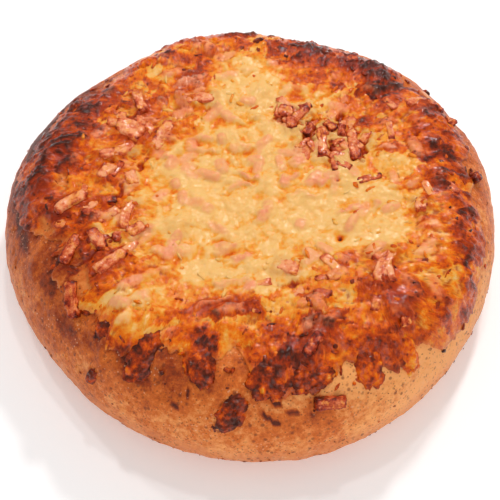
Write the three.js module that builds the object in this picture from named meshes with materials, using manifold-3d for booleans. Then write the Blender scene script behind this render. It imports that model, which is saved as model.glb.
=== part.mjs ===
// A round wholemeal focaccia: one flat-footed loaf with a low raised rim, a sheet of melted cheese
// baked over its top, and strips and cubes of ham set in the cheese.
// Millimetres, +Z up. The loaf stands on its flat foot at z = 0, with the origin under the middle of
// its box. -Y is the front, where most of the bare crust shows, and +X is the right.

import * as THREE from "three";
import { mergeVertices } from "three/addons/utils/BufferGeometryUtils.js";
import Module from "manifold-3d";

const wasm = await Module();
wasm.setup();

// ---- The loaf ----
const LOAF_RADIUS = 83; // radius at the widest line, between the bulges
const LOAF_HEIGHT = 40; // foot to the crest of the rim, without the cheese
const WIDEST_HEIGHT = 13; // height of the widest line
const CREST_SHARE = 0.72; // radius of the rim's crest, as a share of the outline
const FOOT_SHARE = 0.8; // radius of the flat foot, as a share of the outline
const DISH_DEPTH = 3; // how far the middle lies below the crest
const SHOULDER_POWER = 2.2; // 2 is an ellipse, more is squarer
// The outline is a circle with soft bulges: where each points, in degrees from the right through
// the back, how many millimetres it stands out, and the degrees over which it fades. Where out is
// negative, the outline is flatter.
const OUTLINE_BULGES = [
  { towards: -80, out: 3, spread: 30 }, // the blunt point at the front
  { towards: 25, out: 2.5, spread: 30 }, // right
  { towards: 170, out: 2, spread: 25 }, // left
  { towards: -145, out: -2, spread: 20 }, // front left
  { towards: 100, out: -1.5, spread: 40 }, // back
];
// Slow swells of the dough: wavelength, direction and height of each.
const DOUGH_SWELLS = [
  { length: 62, degrees: 25, height: 0.5, phase: 0.6 },
  { length: 41, degrees: 110, height: 0.4, phase: 2.1 },
  { length: 29, degrees: 160, height: 0.25, phase: 4.0 },
];

// ---- The cheese ----
const CHEESE_EDGE = 1.1; // thickness at the edge of the sheet
const CHEESE_RIM = 2.4; // thickness over the rim
const CHEESE_POOL = 3.4; // thickness in the middle, where it has pooled
// How far the sheet reaches, as a share of the way from the loaf's middle (0) to its widest line
// (1), and where it reaches further or less far than that.
const CHEESE_REACH = 0.83;
const REACH_BULGES = [
  { towards: -35, out: 0.1, spread: 25 }, // front right, where the cheese has run furthest
  { towards: 100, out: 0.03, spread: 25 }, // back
  { towards: 175, out: 0.03, spread: 20 }, // left
  { towards: -165, out: -0.03, spread: 15 }, // front left, bare crust
  { towards: -95, out: -0.05, spread: 15 }, // front, bare crust
];
const CHEESE_SUNK = 5; // how far its plain base lies inside the loaf, before the loaf is cut out
const SKIRT = 0.006; // how far past the sheet's edge that base begins, in places on the section
// Curds and ham that only swell the sheet: how many, how far out, as a share of the loaf's radius,
// their clear distance from the middle of a strip of ham, and their least and most sizes.
const LUMP_COUNT = 70;
const LUMP_SEED = 20;
const LUMP_REACH = 0.84;
const LUMP_CLEARANCE = 8;
const LUMP_LENGTH = [9, 15];
const LUMP_WIDTH = [6, 9];
const LUMP_HEIGHT = [0.6, 1.7];

// ---- Shared ----
const GAP = 0.3; // clear space between neighbours that touch
const SEGMENTS = 72;
const FINEST = 0.05; // detail of a cut solid that is smaller than this is dropped
const FULL_TURN = 2 * Math.PI;
const QUARTER = Math.PI / 2;

// Strips of ham that show at their full length: middle x and y, direction, then length, width and
// height. bend is how far a strip's middle is bowed, and pitch the degrees its far end is raised.
const HAM_STRIPS = [
  { name: "ham_left_1", x: -58, y: -9, degrees: 35, size: [12, 4, 4] },
  { name: "ham_left_2", x: -57, y: -26, degrees: 60, size: [11, 4, 4] },
  { name: "ham_left_3", x: -49, y: -24, degrees: -60, size: [9, 4, 4] },
  { name: "ham_left_4", x: -44, y: -32, degrees: 40, size: [12, 4, 4] },
  { name: "ham_left_5", x: -56, y: -42, degrees: 85, size: [12, 4, 4] },
  { name: "ham_left_6", x: -40, y: -14, degrees: 75, size: [13, 3.5, 4], bend: 1.5 },
  { name: "ham_left_7", x: -45, y: 13, degrees: 25, size: [13, 3.5, 4], bend: -1 },
  { name: "ham_left_8", x: -41, y: 22, degrees: -30, size: [10, 7, 4.5] },
  { name: "ham_left_9", x: -30, y: 21, degrees: 65, size: [13, 4.5, 4] },
  { name: "ham_left_10", x: -38, y: 34, degrees: -70, size: [10, 3.5, 4] },
  { name: "ham_left_11", x: -18, y: 36, degrees: 0, size: [12, 4.5, 4] },
  { name: "ham_left_12", x: -67, y: -3, degrees: 55, size: [9, 4, 4] },
  { name: "ham_right_1", x: 24, y: 17, degrees: 90, size: [13, 3.5, 4.5], pitch: -4 },
  { name: "ham_right_2", x: 35, y: 16, degrees: -85, size: [13, 4, 4.5] },
  { name: "ham_right_3", x: 42, y: -34, degrees: 65, size: [14, 4, 4], bend: 1 },
  { name: "ham_front_1", x: 19, y: -62, degrees: 60, size: [9, 3.5, 4] },
  { name: "ham_front_2", x: 24, y: -76, degrees: 0, size: [10, 4, 4] },
];

// Cubes and short ends of ham, which are baked into the sheet and are one piece with it.
const HAM_BITS = [
  { x: -37, y: -20, degrees: 40, size: [7, 4, 4] },
  { x: -48, y: 4, degrees: 50, size: [7, 4, 4] },
  { x: -40, y: 2, degrees: -70, size: [6, 4, 4] },
  { x: -46, y: -8, degrees: 15, size: [4, 3, 3.5] },
  { x: -49, y: -16, degrees: -15, size: [3.5, 3, 3] },
  { x: 12, y: 31, degrees: -10, size: [5, 5, 4.5] },
  { x: 18, y: 29, degrees: -10, size: [4.5, 4, 4] },
  { x: 18, y: 18, degrees: 45, size: [7, 3, 4] },
  { x: 29.5, y: 18, degrees: 10, size: [5, 3, 4] },
  { x: 29, y: 23, degrees: 35, size: [4, 3, 4] },
  { x: 29.5, y: 12, degrees: 0, size: [4.5, 4, 4] },
  { x: 56, y: -8, degrees: 0, size: [4, 3.5, 3.5] },
  { x: 45, y: -47, degrees: -5, size: [4, 3, 3.5] },
  { x: 47, y: -52, degrees: 10, size: [3.5, 3, 3.5] },
  { x: 68, y: 30, degrees: 30, size: [5, 3, 3.5] },
  { x: 75, y: 7, degrees: 40, size: [5, 3, 3.5] },
  { x: 63, y: 36, degrees: -30, size: [7, 3, 4] },
  { x: 35, y: 55, degrees: 35, size: [6, 4, 4.5] },
  { x: 1, y: -50, degrees: 0, size: [4, 3, 3.5] },
  { x: 12, y: -34, degrees: -20, size: [8, 5.5, 4] },
];
const HAM_BED = 1.1; // bottom of the ham above the loaf, in the sheet
const HAM_SUNK = -1.2; // the same at the sheet's edge and on bare crust, where it lies in the crust
const SHEET_EDGE = 0.08; // how far inside the reach the sheet is too thin to hold the ham

// Tongues where the cheese has run out over the crust: middle x and y, direction, length, width
// and height above the crust.
const LENS_SUNK = 0.6; // how far the middle of such a lens lies under the crust
const CHEESE_TONGUES = [
  { x: -44, y: -52, degrees: 50, size: [12, 9, 1.8] },
  { x: -33, y: -63, degrees: 60, size: [16, 10, 1.8] },
  { x: -15, y: -66, degrees: 95, size: [16, 10, 1.8] },
  { x: 6, y: -68, degrees: 90, size: [20, 14, 2.2] },
  { x: 18, y: -70, degrees: 20, size: [18, 10, 2] },
  { x: 36, y: -65, degrees: 100, size: [15, 10, 1.8] },
  { x: 48, y: -59, degrees: 120, size: [15, 8, 1.8] },
];
// Drips that lie apart from the sheet.
const CHEESE_DRIPS = [
  { name: "cheese_drip_front", x: -6, y: -80, degrees: 65, size: [14, 8, 2] },
  { name: "cheese_drip_left", x: -50, y: -63, degrees: 40, size: [8, 4, 1.6] },
];

// Ham that lies wholly under the cheese and lifts it: middle x and y, direction, length and width.
const BURIED_HEIGHT = 1.7; // how far it lifts the cheese
const BURIED_HAM = [
  { x: -26, y: 14, degrees: 50, size: [15, 5] },
  { x: -27, y: 38, degrees: 0, size: [10, 5] },
  { x: -65, y: -22, degrees: 40, size: [13, 6] },
  { x: -69, y: 5, degrees: 55, size: [16, 6] },
  { x: 31, y: 3, degrees: 90, size: [13, 6] },
  { x: 33, y: -41, degrees: -15, size: [13, 6] },
  { x: 18, y: -50, degrees: 25, size: [14, 6] },
  { x: -23, y: -18, degrees: 45, size: [9, 5] },
];

// A seeded draw from 0 to 1.
function seededDraw(seed) {
  let state = seed;
  return () => {
    state = (state * 16807) % 2147483647;
    return state / 2147483647;
  };
}

// Lumps under the sheet, spread evenly over the disc by the golden angle, with seeded differences.
function cheeseLumps() {
  const draw = seededDraw(LUMP_SEED);
  const between = ([least, most]) => least + (most - least) * draw();
  const goldenAngle = Math.PI * (3 - Math.sqrt(5));
  const lumps = BURIED_HAM.map((piece) => ({ ...piece, height: BURIED_HEIGHT }));
  for (let i = 0; i < LUMP_COUNT; i++) {
    const reach = LOAF_RADIUS * LUMP_REACH * Math.sqrt((i + 0.5) / LUMP_COUNT);
    const angle = i * goldenAngle + 0.5 * draw();
    const lump = {
      x: reach * Math.cos(angle),
      y: reach * Math.sin(angle),
      degrees: 180 * draw(),
      size: [between(LUMP_LENGTH), between(LUMP_WIDTH)],
      height: between(LUMP_HEIGHT),
    };
    const crowded = HAM_STRIPS.some(
      (ham) => Math.hypot(ham.x - lump.x, ham.y - lump.y) < LUMP_CLEARANCE,
    );
    if (!crowded) lumps.push(lump);
  }
  return lumps;
}
const LUMPS = cheeseLumps();

// How far a list of bulges stands out at an angle.
function bulgeAt(bulges, angle) {
  return bulges.reduce((sum, bulge) => {
    const turn = angle - THREE.MathUtils.degToRad(bulge.towards);
    const away = Math.atan2(Math.sin(turn), Math.cos(turn));
    return sum + bulge.out * Math.exp(-((away / THREE.MathUtils.degToRad(bulge.spread)) ** 2));
  }, 0);
}

const outlineRadius = (angle) => LOAF_RADIUS + bulgeAt(OUTLINE_BULGES, angle);
const cheeseReach = (angle) => CHEESE_REACH + bulgeAt(REACH_BULGES, angle);

// The loaf's section, as [share of the outline's radius, height]. place runs from 0 in the middle of
// the top, over the crest, to 1 at the widest line, and on to 2 at the edge of the foot.
function section(place) {
  if (place <= CREST_SHARE) {
    const dish = (DISH_DEPTH * (1 + Math.cos((Math.PI * place) / CREST_SHARE))) / 2;
    return [place, LOAF_HEIGHT - dish];
  }
  if (place <= 1) {
    const turn = (QUARTER * (1 - place)) / (1 - CREST_SHARE);
    const out = Math.max(0, Math.cos(turn)) ** (2 / SHOULDER_POWER);
    const rise = Math.max(0, Math.sin(turn)) ** (2 / SHOULDER_POWER);
    return [
      CREST_SHARE + (1 - CREST_SHARE) * out,
      WIDEST_HEIGHT + (LOAF_HEIGHT - WIDEST_HEIGHT) * rise,
    ];
  }
  const turn = QUARTER * (place - 1);
  return [
    FOOT_SHARE + (1 - FOOT_SHARE) * Math.cos(turn),
    WIDEST_HEIGHT * (1 - Math.sin(turn)),
  ];
}

function doughSwell(x, y) {
  return DOUGH_SWELLS.reduce((sum, s) => {
    const along = x * Math.cos(THREE.MathUtils.degToRad(s.degrees)) +
      y * Math.sin(THREE.MathUtils.degToRad(s.degrees));
    return sum + s.height * Math.sin((FULL_TURN * along) / s.length + s.phase);
  }, 0);
}

// A point of the loaf's skin, moved outwards by proud.
function loafPoint(place, angle, proud = 0) {
  const step = 1e-3;
  const radius = outlineRadius(angle);
  const [share, height] = section(place);
  const [shareIn, heightIn] = section(Math.max(0, place - step));
  const [shareOut, heightOut] = section(Math.min(2, place + step));
  const normal = new THREE.Vector2(heightIn - heightOut, (shareOut - shareIn) * radius).normalize();
  const x = share * radius * Math.cos(angle);
  const y = share * radius * Math.sin(angle);
  const fade = THREE.MathUtils.smoothstep(height, WIDEST_HEIGHT, 0.8 * LOAF_HEIGHT);
  const out = proud + fade * doughSwell(x, y);
  return new THREE.Vector3(
    x + out * normal.x * Math.cos(angle),
    y + out * normal.x * Math.sin(angle),
    height + out * normal.y,
  );
}

// Where on the section a point of the top lies, seen from above.
function placeAt(x, y) {
  const share = Math.hypot(x, y) / outlineRadius(Math.atan2(y, x));
  if (share <= CREST_SHARE) return share;
  const out = Math.min(1, (share - CREST_SHARE) / (1 - CREST_SHARE));
  return 1 - ((1 - CREST_SHARE) * Math.acos(out ** (SHOULDER_POWER / 2))) / QUARTER;
}

function cheeseThickness(x, y, place, reach) {
  const pool = THREE.MathUtils.smoothstep(1 - place / CREST_SHARE, 0, 0.8);
  const edge = THREE.MathUtils.smoothstep(reach - place, 0, 0.1);
  const sheet = CHEESE_RIM + (CHEESE_POOL - CHEESE_RIM) * pool;
  const lumps = LUMPS.reduce((sum, lump) => {
    const turn = THREE.MathUtils.degToRad(lump.degrees);
    const dx = x - lump.x;
    const dy = y - lump.y;
    const along = (dx * Math.cos(turn) + dy * Math.sin(turn)) / (lump.size[0] / 2);
    const across = (dy * Math.cos(turn) - dx * Math.sin(turn)) / (lump.size[1] / 2);
    return sum + lump.height * Math.exp(-(along ** 2 + across ** 2));
  }, 0);
  return CHEESE_EDGE + (sheet - CHEESE_EDGE + lumps) * edge;
}

// Where a piece on the top lies: its middle, the way out of the surface, and the way it points.
function seatAt(x, y, degrees, pitch = 0) {
  const step = 1.5;
  const on = (px, py) => loafPoint(placeAt(px, py), Math.atan2(py, px));
  const point = on(x, y);
  const across = on(x + step, y).sub(on(x - step, y));
  const away = on(x, y + step).sub(on(x, y - step));
  const up = across.cross(away).normalize();
  const turn = THREE.MathUtils.degToRad(degrees);
  const along = new THREE.Vector3(Math.cos(turn), Math.sin(turn), 0);
  along.addScaledVector(up, -along.dot(up)).normalize();
  along.applyAxisAngle(up.clone().cross(along), -THREE.MathUtils.degToRad(pitch));
  const side = up.clone().cross(along).normalize();
  return { point, up, basis: new THREE.Matrix4().makeBasis(along, side, along.clone().cross(side)) };
}

// A closed skin from rings of points, which run from the lowest pole to the highest.
function skinGeometry(low, rings, high) {
  const points = [low, ...rings.flat(), high];
  const faces = [];
  const count = rings[0].length;
  const index = (ring, k) => 1 + ring * count + (k % count);
  const last = points.length - 1;
  for (let k = 0; k < count; k++) {
    faces.push(0, index(0, k + 1), index(0, k));
    for (let ring = 0; ring + 1 < rings.length; ring++) {
      const [a, b] = [index(ring, k), index(ring, k + 1)];
      const [c, d] = [index(ring + 1, k), index(ring + 1, k + 1)];
      faces.push(a, b, d, a, d, c);
    }
    faces.push(last, index(rings.length - 1, k), index(rings.length - 1, k + 1));
  }
  const geometry = new THREE.BufferGeometry().setFromPoints(points);
  geometry.setIndex(faces);
  return geometry;
}

const ring = (pointAt) =>
  Array.from({ length: SEGMENTS }, (_, k) => pointAt((FULL_TURN * k) / SEGMENTS));

// Places on the section where the loaf has a ring, from the foot's edge to near the middle.
const LOAF_PLACES = [
  2, 1.7, 1.42, 1.17, 1, 0.94, 0.89, 0.84, 0.785, 0.72, 0.6, 0.45, 0.27, 0.1,
];

function loafGeometry(proud) {
  const rings = LOAF_PLACES.map((place) => ring((angle) => loafPoint(place, angle, proud)));
  const foot = ring((angle) => {
    const inner = (FOOT_SHARE / 2) * outlineRadius(angle);
    return new THREE.Vector3(inner * Math.cos(angle), inner * Math.sin(angle), -proud);
  });
  return skinGeometry(new THREE.Vector3(0, 0, -proud), [foot, ...rings], loafPoint(0, 0, proud));
}

// The cheese before the loaf is taken out of it: its true top, and a plain base inside the loaf.
function cheeseGeometry() {
  const steps = [1, 0.97, 0.93, 0.88, 0.82, 0.755, 0.68, 0.6, 0.51, 0.41, 0.3, 0.19, 0.08];
  const top = steps.map((share) =>
    ring((angle) => {
      const reach = cheeseReach(angle);
      const place = share * reach;
      const under = loafPoint(place, angle);
      return loafPoint(place, angle, GAP + cheeseThickness(under.x, under.y, place, reach));
    }),
  );
  const skirt = ring((angle) => loafPoint(cheeseReach(angle) + SKIRT, angle, -CHEESE_SUNK));
  const high = loafPoint(0, 0, GAP + cheeseThickness(0, 0, 0, cheeseReach(0)));
  const low = new THREE.Vector3(0, 0, LOAF_HEIGHT - DISH_DEPTH - 2 * CHEESE_SUNK);
  return skinGeometry(low, [skirt, ...top], high);
}

// A lens of cheese that has run over the crust, its middle sunk a little in it.
function tongueGeometry({ x, y, degrees, size }) {
  const [length, width, height] = size;
  const { point, basis } = seatAt(x, y, degrees);
  const lens = new THREE.SphereGeometry(1, 12, 6).rotateX(QUARTER);
  lens.scale(length / 2, width / 2, GAP + height + LENS_SUNK).translate(0, 0, -LENS_SUNK);
  return lens.applyMatrix4(basis).translate(point.x, point.y, point.z);
}

// A strip or cube of ham with worn edges, grown by grow on every side.
function hamGeometry(piece, grow = 0) {
  const { x, y, degrees, size, bend = 0, pitch = 0 } = piece;
  const [halfLength, halfWidth, halfHeight] = size.map((side) => side / 2 + grow);
  const inSheet = placeAt(x, y) < cheeseReach(Math.atan2(y, x)) - SHEET_EDGE;
  const { point, up, basis } = seatAt(x, y, degrees, pitch);
  const box = new THREE.BoxGeometry(2, 2, 2, 4, 2, 2);
  const corner = box.attributes.position;
  const v = new THREE.Vector3();
  for (let i = 0; i < corner.count; i++) {
    v.fromBufferAttribute(corner, i);
    corner.setXYZ(
      i,
      v.x * halfLength * (1 - 0.05 * (v.y * v.y + v.z * v.z)),
      v.y * halfWidth * (1 - 0.1 * v.z * v.z - 0.08 * v.x ** 4) + bend * (0.5 - v.x * v.x),
      v.z * halfHeight * (1 - 0.1 * v.y * v.y - 0.08 * v.x ** 4),
    );
  }
  const middle = point.clone().addScaledVector(up, (inSheet ? HAM_BED : HAM_SUNK) + size[2] / 2);
  return box.applyMatrix4(basis).translate(middle.x, middle.y, middle.z);
}

// ---- Joining and cutting ----
function solidOf(geometry) {
  geometry.deleteAttribute("normal");
  geometry.deleteAttribute("uv");
  const merged = mergeVertices(geometry, 1e-3);
  const mesh = new wasm.Mesh({
    numProp: 3,
    vertProperties: new Float32Array(merged.attributes.position.array),
    triVerts: new Uint32Array(merged.index.array),
  });
  return new wasm.Manifold(mesh);
}

// The largest body of a cut solid, without the loose scraps and needle faces that a cut leaves.
function mainBody(solid) {
  const bodies = solid.simplify(FINEST).decompose();
  return bodies.reduce((best, body) => (body.volume() > best.volume() ? body : best));
}

function geometryOf(solid) {
  const { vertProperties, triVerts } = solid.getMesh();
  const geometry = new THREE.BufferGeometry();
  geometry.setAttribute("position", new THREE.BufferAttribute(vertProperties, 3));
  geometry.setIndex(new THREE.BufferAttribute(triVerts, 1));
  return geometry.toNonIndexed();
}

// ---- Colours ----
const CRUST = new THREE.MeshStandardMaterial({ color: 0xc1703c, roughness: 0.55, metalness: 0 });
const CHEESE = new THREE.MeshStandardMaterial({ color: 0xe2963f, roughness: 0.35, metalness: 0 });
const HAM = new THREE.MeshStandardMaterial({ color: 0xc8643c, roughness: 0.4, metalness: 0 });

const focaccia = new THREE.Group();

function add(name, solid, material) {
  const geometry = geometryOf(solid);
  geometry.computeVertexNormals();
  const mesh = new THREE.Mesh(geometry, material);
  mesh.name = name;
  focaccia.add(mesh);
}

// Each strip keeps clear of those before it, and the cheese and the loaf of them all.
let pockets = null;
for (const strip of HAM_STRIPS) {
  let ham = solidOf(hamGeometry(strip));
  if (pockets) ham = ham.subtract(pockets);
  add(strip.name, mainBody(ham), HAM);
  const pocket = solidOf(hamGeometry(strip, GAP));
  pockets = pockets ? pockets.add(pocket) : pocket;
}

const loaf = solidOf(loafGeometry(0));
add("loaf", mainBody(loaf.subtract(pockets)), CRUST);

const room = solidOf(loafGeometry(GAP)).add(pockets);
const cheese = [solidOf(cheeseGeometry())];
cheese.push(...CHEESE_TONGUES.map((tongue) => solidOf(tongueGeometry(tongue))));
cheese.push(...HAM_BITS.map((bit) => solidOf(hamGeometry(bit))));
add("cheese", mainBody(cheese.reduce((whole, piece) => whole.add(piece)).subtract(room)), CHEESE);

for (const drip of CHEESE_DRIPS) {
  add(drip.name, mainBody(solidOf(tongueGeometry(drip)).subtract(room)), CHEESE);
}

// The origin goes under the middle of the whole box, on the flat foot.
const box = new THREE.Box3().setFromObject(focaccia);
const middle = box.getCenter(new THREE.Vector3());
focaccia.position.set(-middle.x, -middle.y, -box.min.z);

export default focaccia;
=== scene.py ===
"""A round wholemeal focaccia under melted cheese and ham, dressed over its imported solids.

Sizes and places are millimetres in the bread's own coordinates: the middle of the loaf is the origin,
-Y is the front and the foot is at z = 0. Meshes are written in metres, in the frame.
"""
import logging
import math
from dataclasses import dataclass, field
from enum import Enum
from typing import Callable, Sequence

import bpy
import numpy as np
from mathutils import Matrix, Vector, noise


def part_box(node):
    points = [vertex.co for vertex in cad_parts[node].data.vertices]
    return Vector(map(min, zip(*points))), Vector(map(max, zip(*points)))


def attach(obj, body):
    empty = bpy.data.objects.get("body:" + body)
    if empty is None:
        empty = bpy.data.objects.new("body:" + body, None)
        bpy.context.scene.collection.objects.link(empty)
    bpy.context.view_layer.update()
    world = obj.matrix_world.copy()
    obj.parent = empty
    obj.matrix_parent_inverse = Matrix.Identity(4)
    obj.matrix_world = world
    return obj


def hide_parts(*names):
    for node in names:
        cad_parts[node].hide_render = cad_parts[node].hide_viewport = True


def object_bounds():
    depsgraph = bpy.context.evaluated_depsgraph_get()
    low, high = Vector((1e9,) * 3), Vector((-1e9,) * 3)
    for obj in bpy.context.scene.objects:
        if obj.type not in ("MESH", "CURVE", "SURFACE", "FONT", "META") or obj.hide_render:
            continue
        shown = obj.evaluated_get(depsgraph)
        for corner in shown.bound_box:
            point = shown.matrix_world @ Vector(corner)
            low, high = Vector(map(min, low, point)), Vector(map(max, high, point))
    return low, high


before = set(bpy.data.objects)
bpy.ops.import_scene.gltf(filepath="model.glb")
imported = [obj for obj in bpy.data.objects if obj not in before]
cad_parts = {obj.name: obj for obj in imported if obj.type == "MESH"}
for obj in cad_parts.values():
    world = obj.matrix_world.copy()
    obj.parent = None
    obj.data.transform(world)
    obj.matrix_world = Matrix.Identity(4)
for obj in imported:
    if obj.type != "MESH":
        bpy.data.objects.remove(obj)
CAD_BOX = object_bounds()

LOG = logging.getLogger("focaccia")
METRE = 0.001
Array = np.ndarray
Colour = tuple[int, int, int]
Draws = np.random.Generator
Socket = bpy.types.NodeSocket
Piece = bpy.types.Object
Finish = bpy.types.Material


class Slot(Enum):
    """The record's material slots."""

    CRUST = "bread_crust"
    CHEESE = "melted_cheese"
    HAM = "ham"


# ---- Small mathematics ----


def smoothstep(value: Array, low: float, high: float) -> Array:
    """Eases from 0 at low to 1 at high."""
    t = np.clip((value - low) / (high - low), 0, 1)
    return t * t * (3 - 2 * t)


def unit(vectors: Array) -> Array:
    """Scales vectors to length 1."""
    return vectors / np.maximum(np.linalg.norm(vectors, axis=-1, keepdims=True), 1e-12)


def turned(x: Array, y: Array, turn: float) -> tuple[Array, Array]:
    """How far points lie along and across a direction, which is in radians."""
    return x * math.cos(turn) + y * math.sin(turn), y * math.cos(turn) - x * math.sin(turn)


def on_plane(x: Array, y: Array) -> Array:
    """Points at height 0, one row each."""
    return np.stack([x, y, np.zeros_like(x)], -1)


def grain(points: Array, size: float, octaves: int = 3, seed: float = 0.0) -> Array:
    """Fractal noise at points.

    Args:
        points: places in millimetres, one row each.
        size: the size of the largest features in millimetres.
        octaves: how many times finer detail is added.
        seed: shifts the pattern.

    Returns:
        One value a point, about -1 to 1.
    """
    shift = Vector((seed * 13.7, seed * 5.1, seed * 9.3))
    return np.array(
        [noise.fractal(Vector(p) / size + shift, 0.7, 2.1, octaves) for p in points.tolist()]
    )


def cells(points: Array, size: float, seed: float = 0.0) -> Array:
    """Rounded bubbles at points: 1 at the middle of a cell and 0 at its border."""
    shift = Vector((seed * 7.7, seed * 3.3, seed))
    near = [noise.voronoi(Vector(p) / size + shift)[0] for p in points.tolist()]
    first = np.array([d[0] for d in near])
    second = np.array([d[1] for d in near])
    return smoothstep(second - first, 0.0, 0.55)


def chunks(
    points: Array, size: float, seed: float = 0.0, crest: float = 0.5
) -> tuple[Array, Array]:
    """Irregular pieces pressed together.

    Args:
        points: places in millimetres, one row each.
        size: the mean size of a piece in millimetres.
        seed: shifts the pattern.
        crest: how far from a piece's border its crown begins; more is rounder.

    Returns:
        The height of each point's piece there, 0 at its border and 1 on its crown, and a value from
        0 to 1 that is the piece's own.
    """
    shift = Vector((seed * 3.1, seed * 6.7, seed * 1.9))
    near = [noise.voronoi(Vector(p) / size + shift) for p in points.tolist()]
    gap = np.array([distances[1] - distances[0] for distances, _ in near])
    own = np.array([noise.cell(places[0] * 91.7) for _, places in near])
    return smoothstep(gap, 0.0, crest), own


def blurred(field: Array, cells_away: int) -> Array:
    """The mean of a grid's values within so many cells each way."""
    for axis in (0, 1):
        shifts = [np.roll(field, k, axis) for k in range(-cells_away, cells_away + 1)]
        field = np.mean(shifts, axis=0)
    return field


def seeded_draw(seed: int) -> Callable[[], float]:
    """The part's own seeded draw from 0 to 1, so that the same lumps come out."""
    state = seed

    def draw() -> float:
        """The next value."""
        nonlocal state
        state = (state * 16807) % 2147483647
        return state / 2147483647

    return draw


# ---- The bread's shape, as in the part ----


@dataclass(frozen=True)
class Bulge:
    """A soft bulge: its direction, how far it stands out, and the degrees over which it fades."""

    towards: float
    out: float
    spread: float


def bulges_at(bulges: Sequence[Bulge], angle: Array) -> Array:
    """How far bulges stand out together at each angle."""
    total = np.zeros_like(angle)
    for bulge in bulges:
        turn = angle - math.radians(bulge.towards)
        away = np.arctan2(np.sin(turn), np.cos(turn))
        total += bulge.out * np.exp(-((away / math.radians(bulge.spread)) ** 2))
    return total


@dataclass(frozen=True)
class Oval:
    """A long round area on the top: its middle, direction, length and width."""

    x: float
    y: float
    degrees: float
    length: float
    width: float

    def away(self, x: Array, y: Array) -> Array:
        """The square of each point's distance from the middle, 1 at the oval's border."""
        along, across = turned(x - self.x, y - self.y, math.radians(self.degrees))
        return (along / (self.length / 2)) ** 2 + (across / (self.width / 2)) ** 2


@dataclass(frozen=True)
class Patch(Oval):
    """A soft patch, with its strength."""

    strength: float

    def cover(self, x: Array, y: Array) -> Array:
        """1 in the middle of the patch, fading to 0 outside it."""
        return np.exp(-(self.away(x, y) ** 1.5))


@dataclass(frozen=True)
class Lump(Oval):
    """A swelling or a clump of cheese, with its height."""

    height: float


def strongest(patches: Sequence[Patch], x: Array, y: Array) -> Array:
    """How strong the strongest patch is at each point."""
    total = np.zeros_like(x)
    for patch in patches:
        total = np.maximum(total, patch.strength * patch.cover(x, y))
    return total


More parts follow.
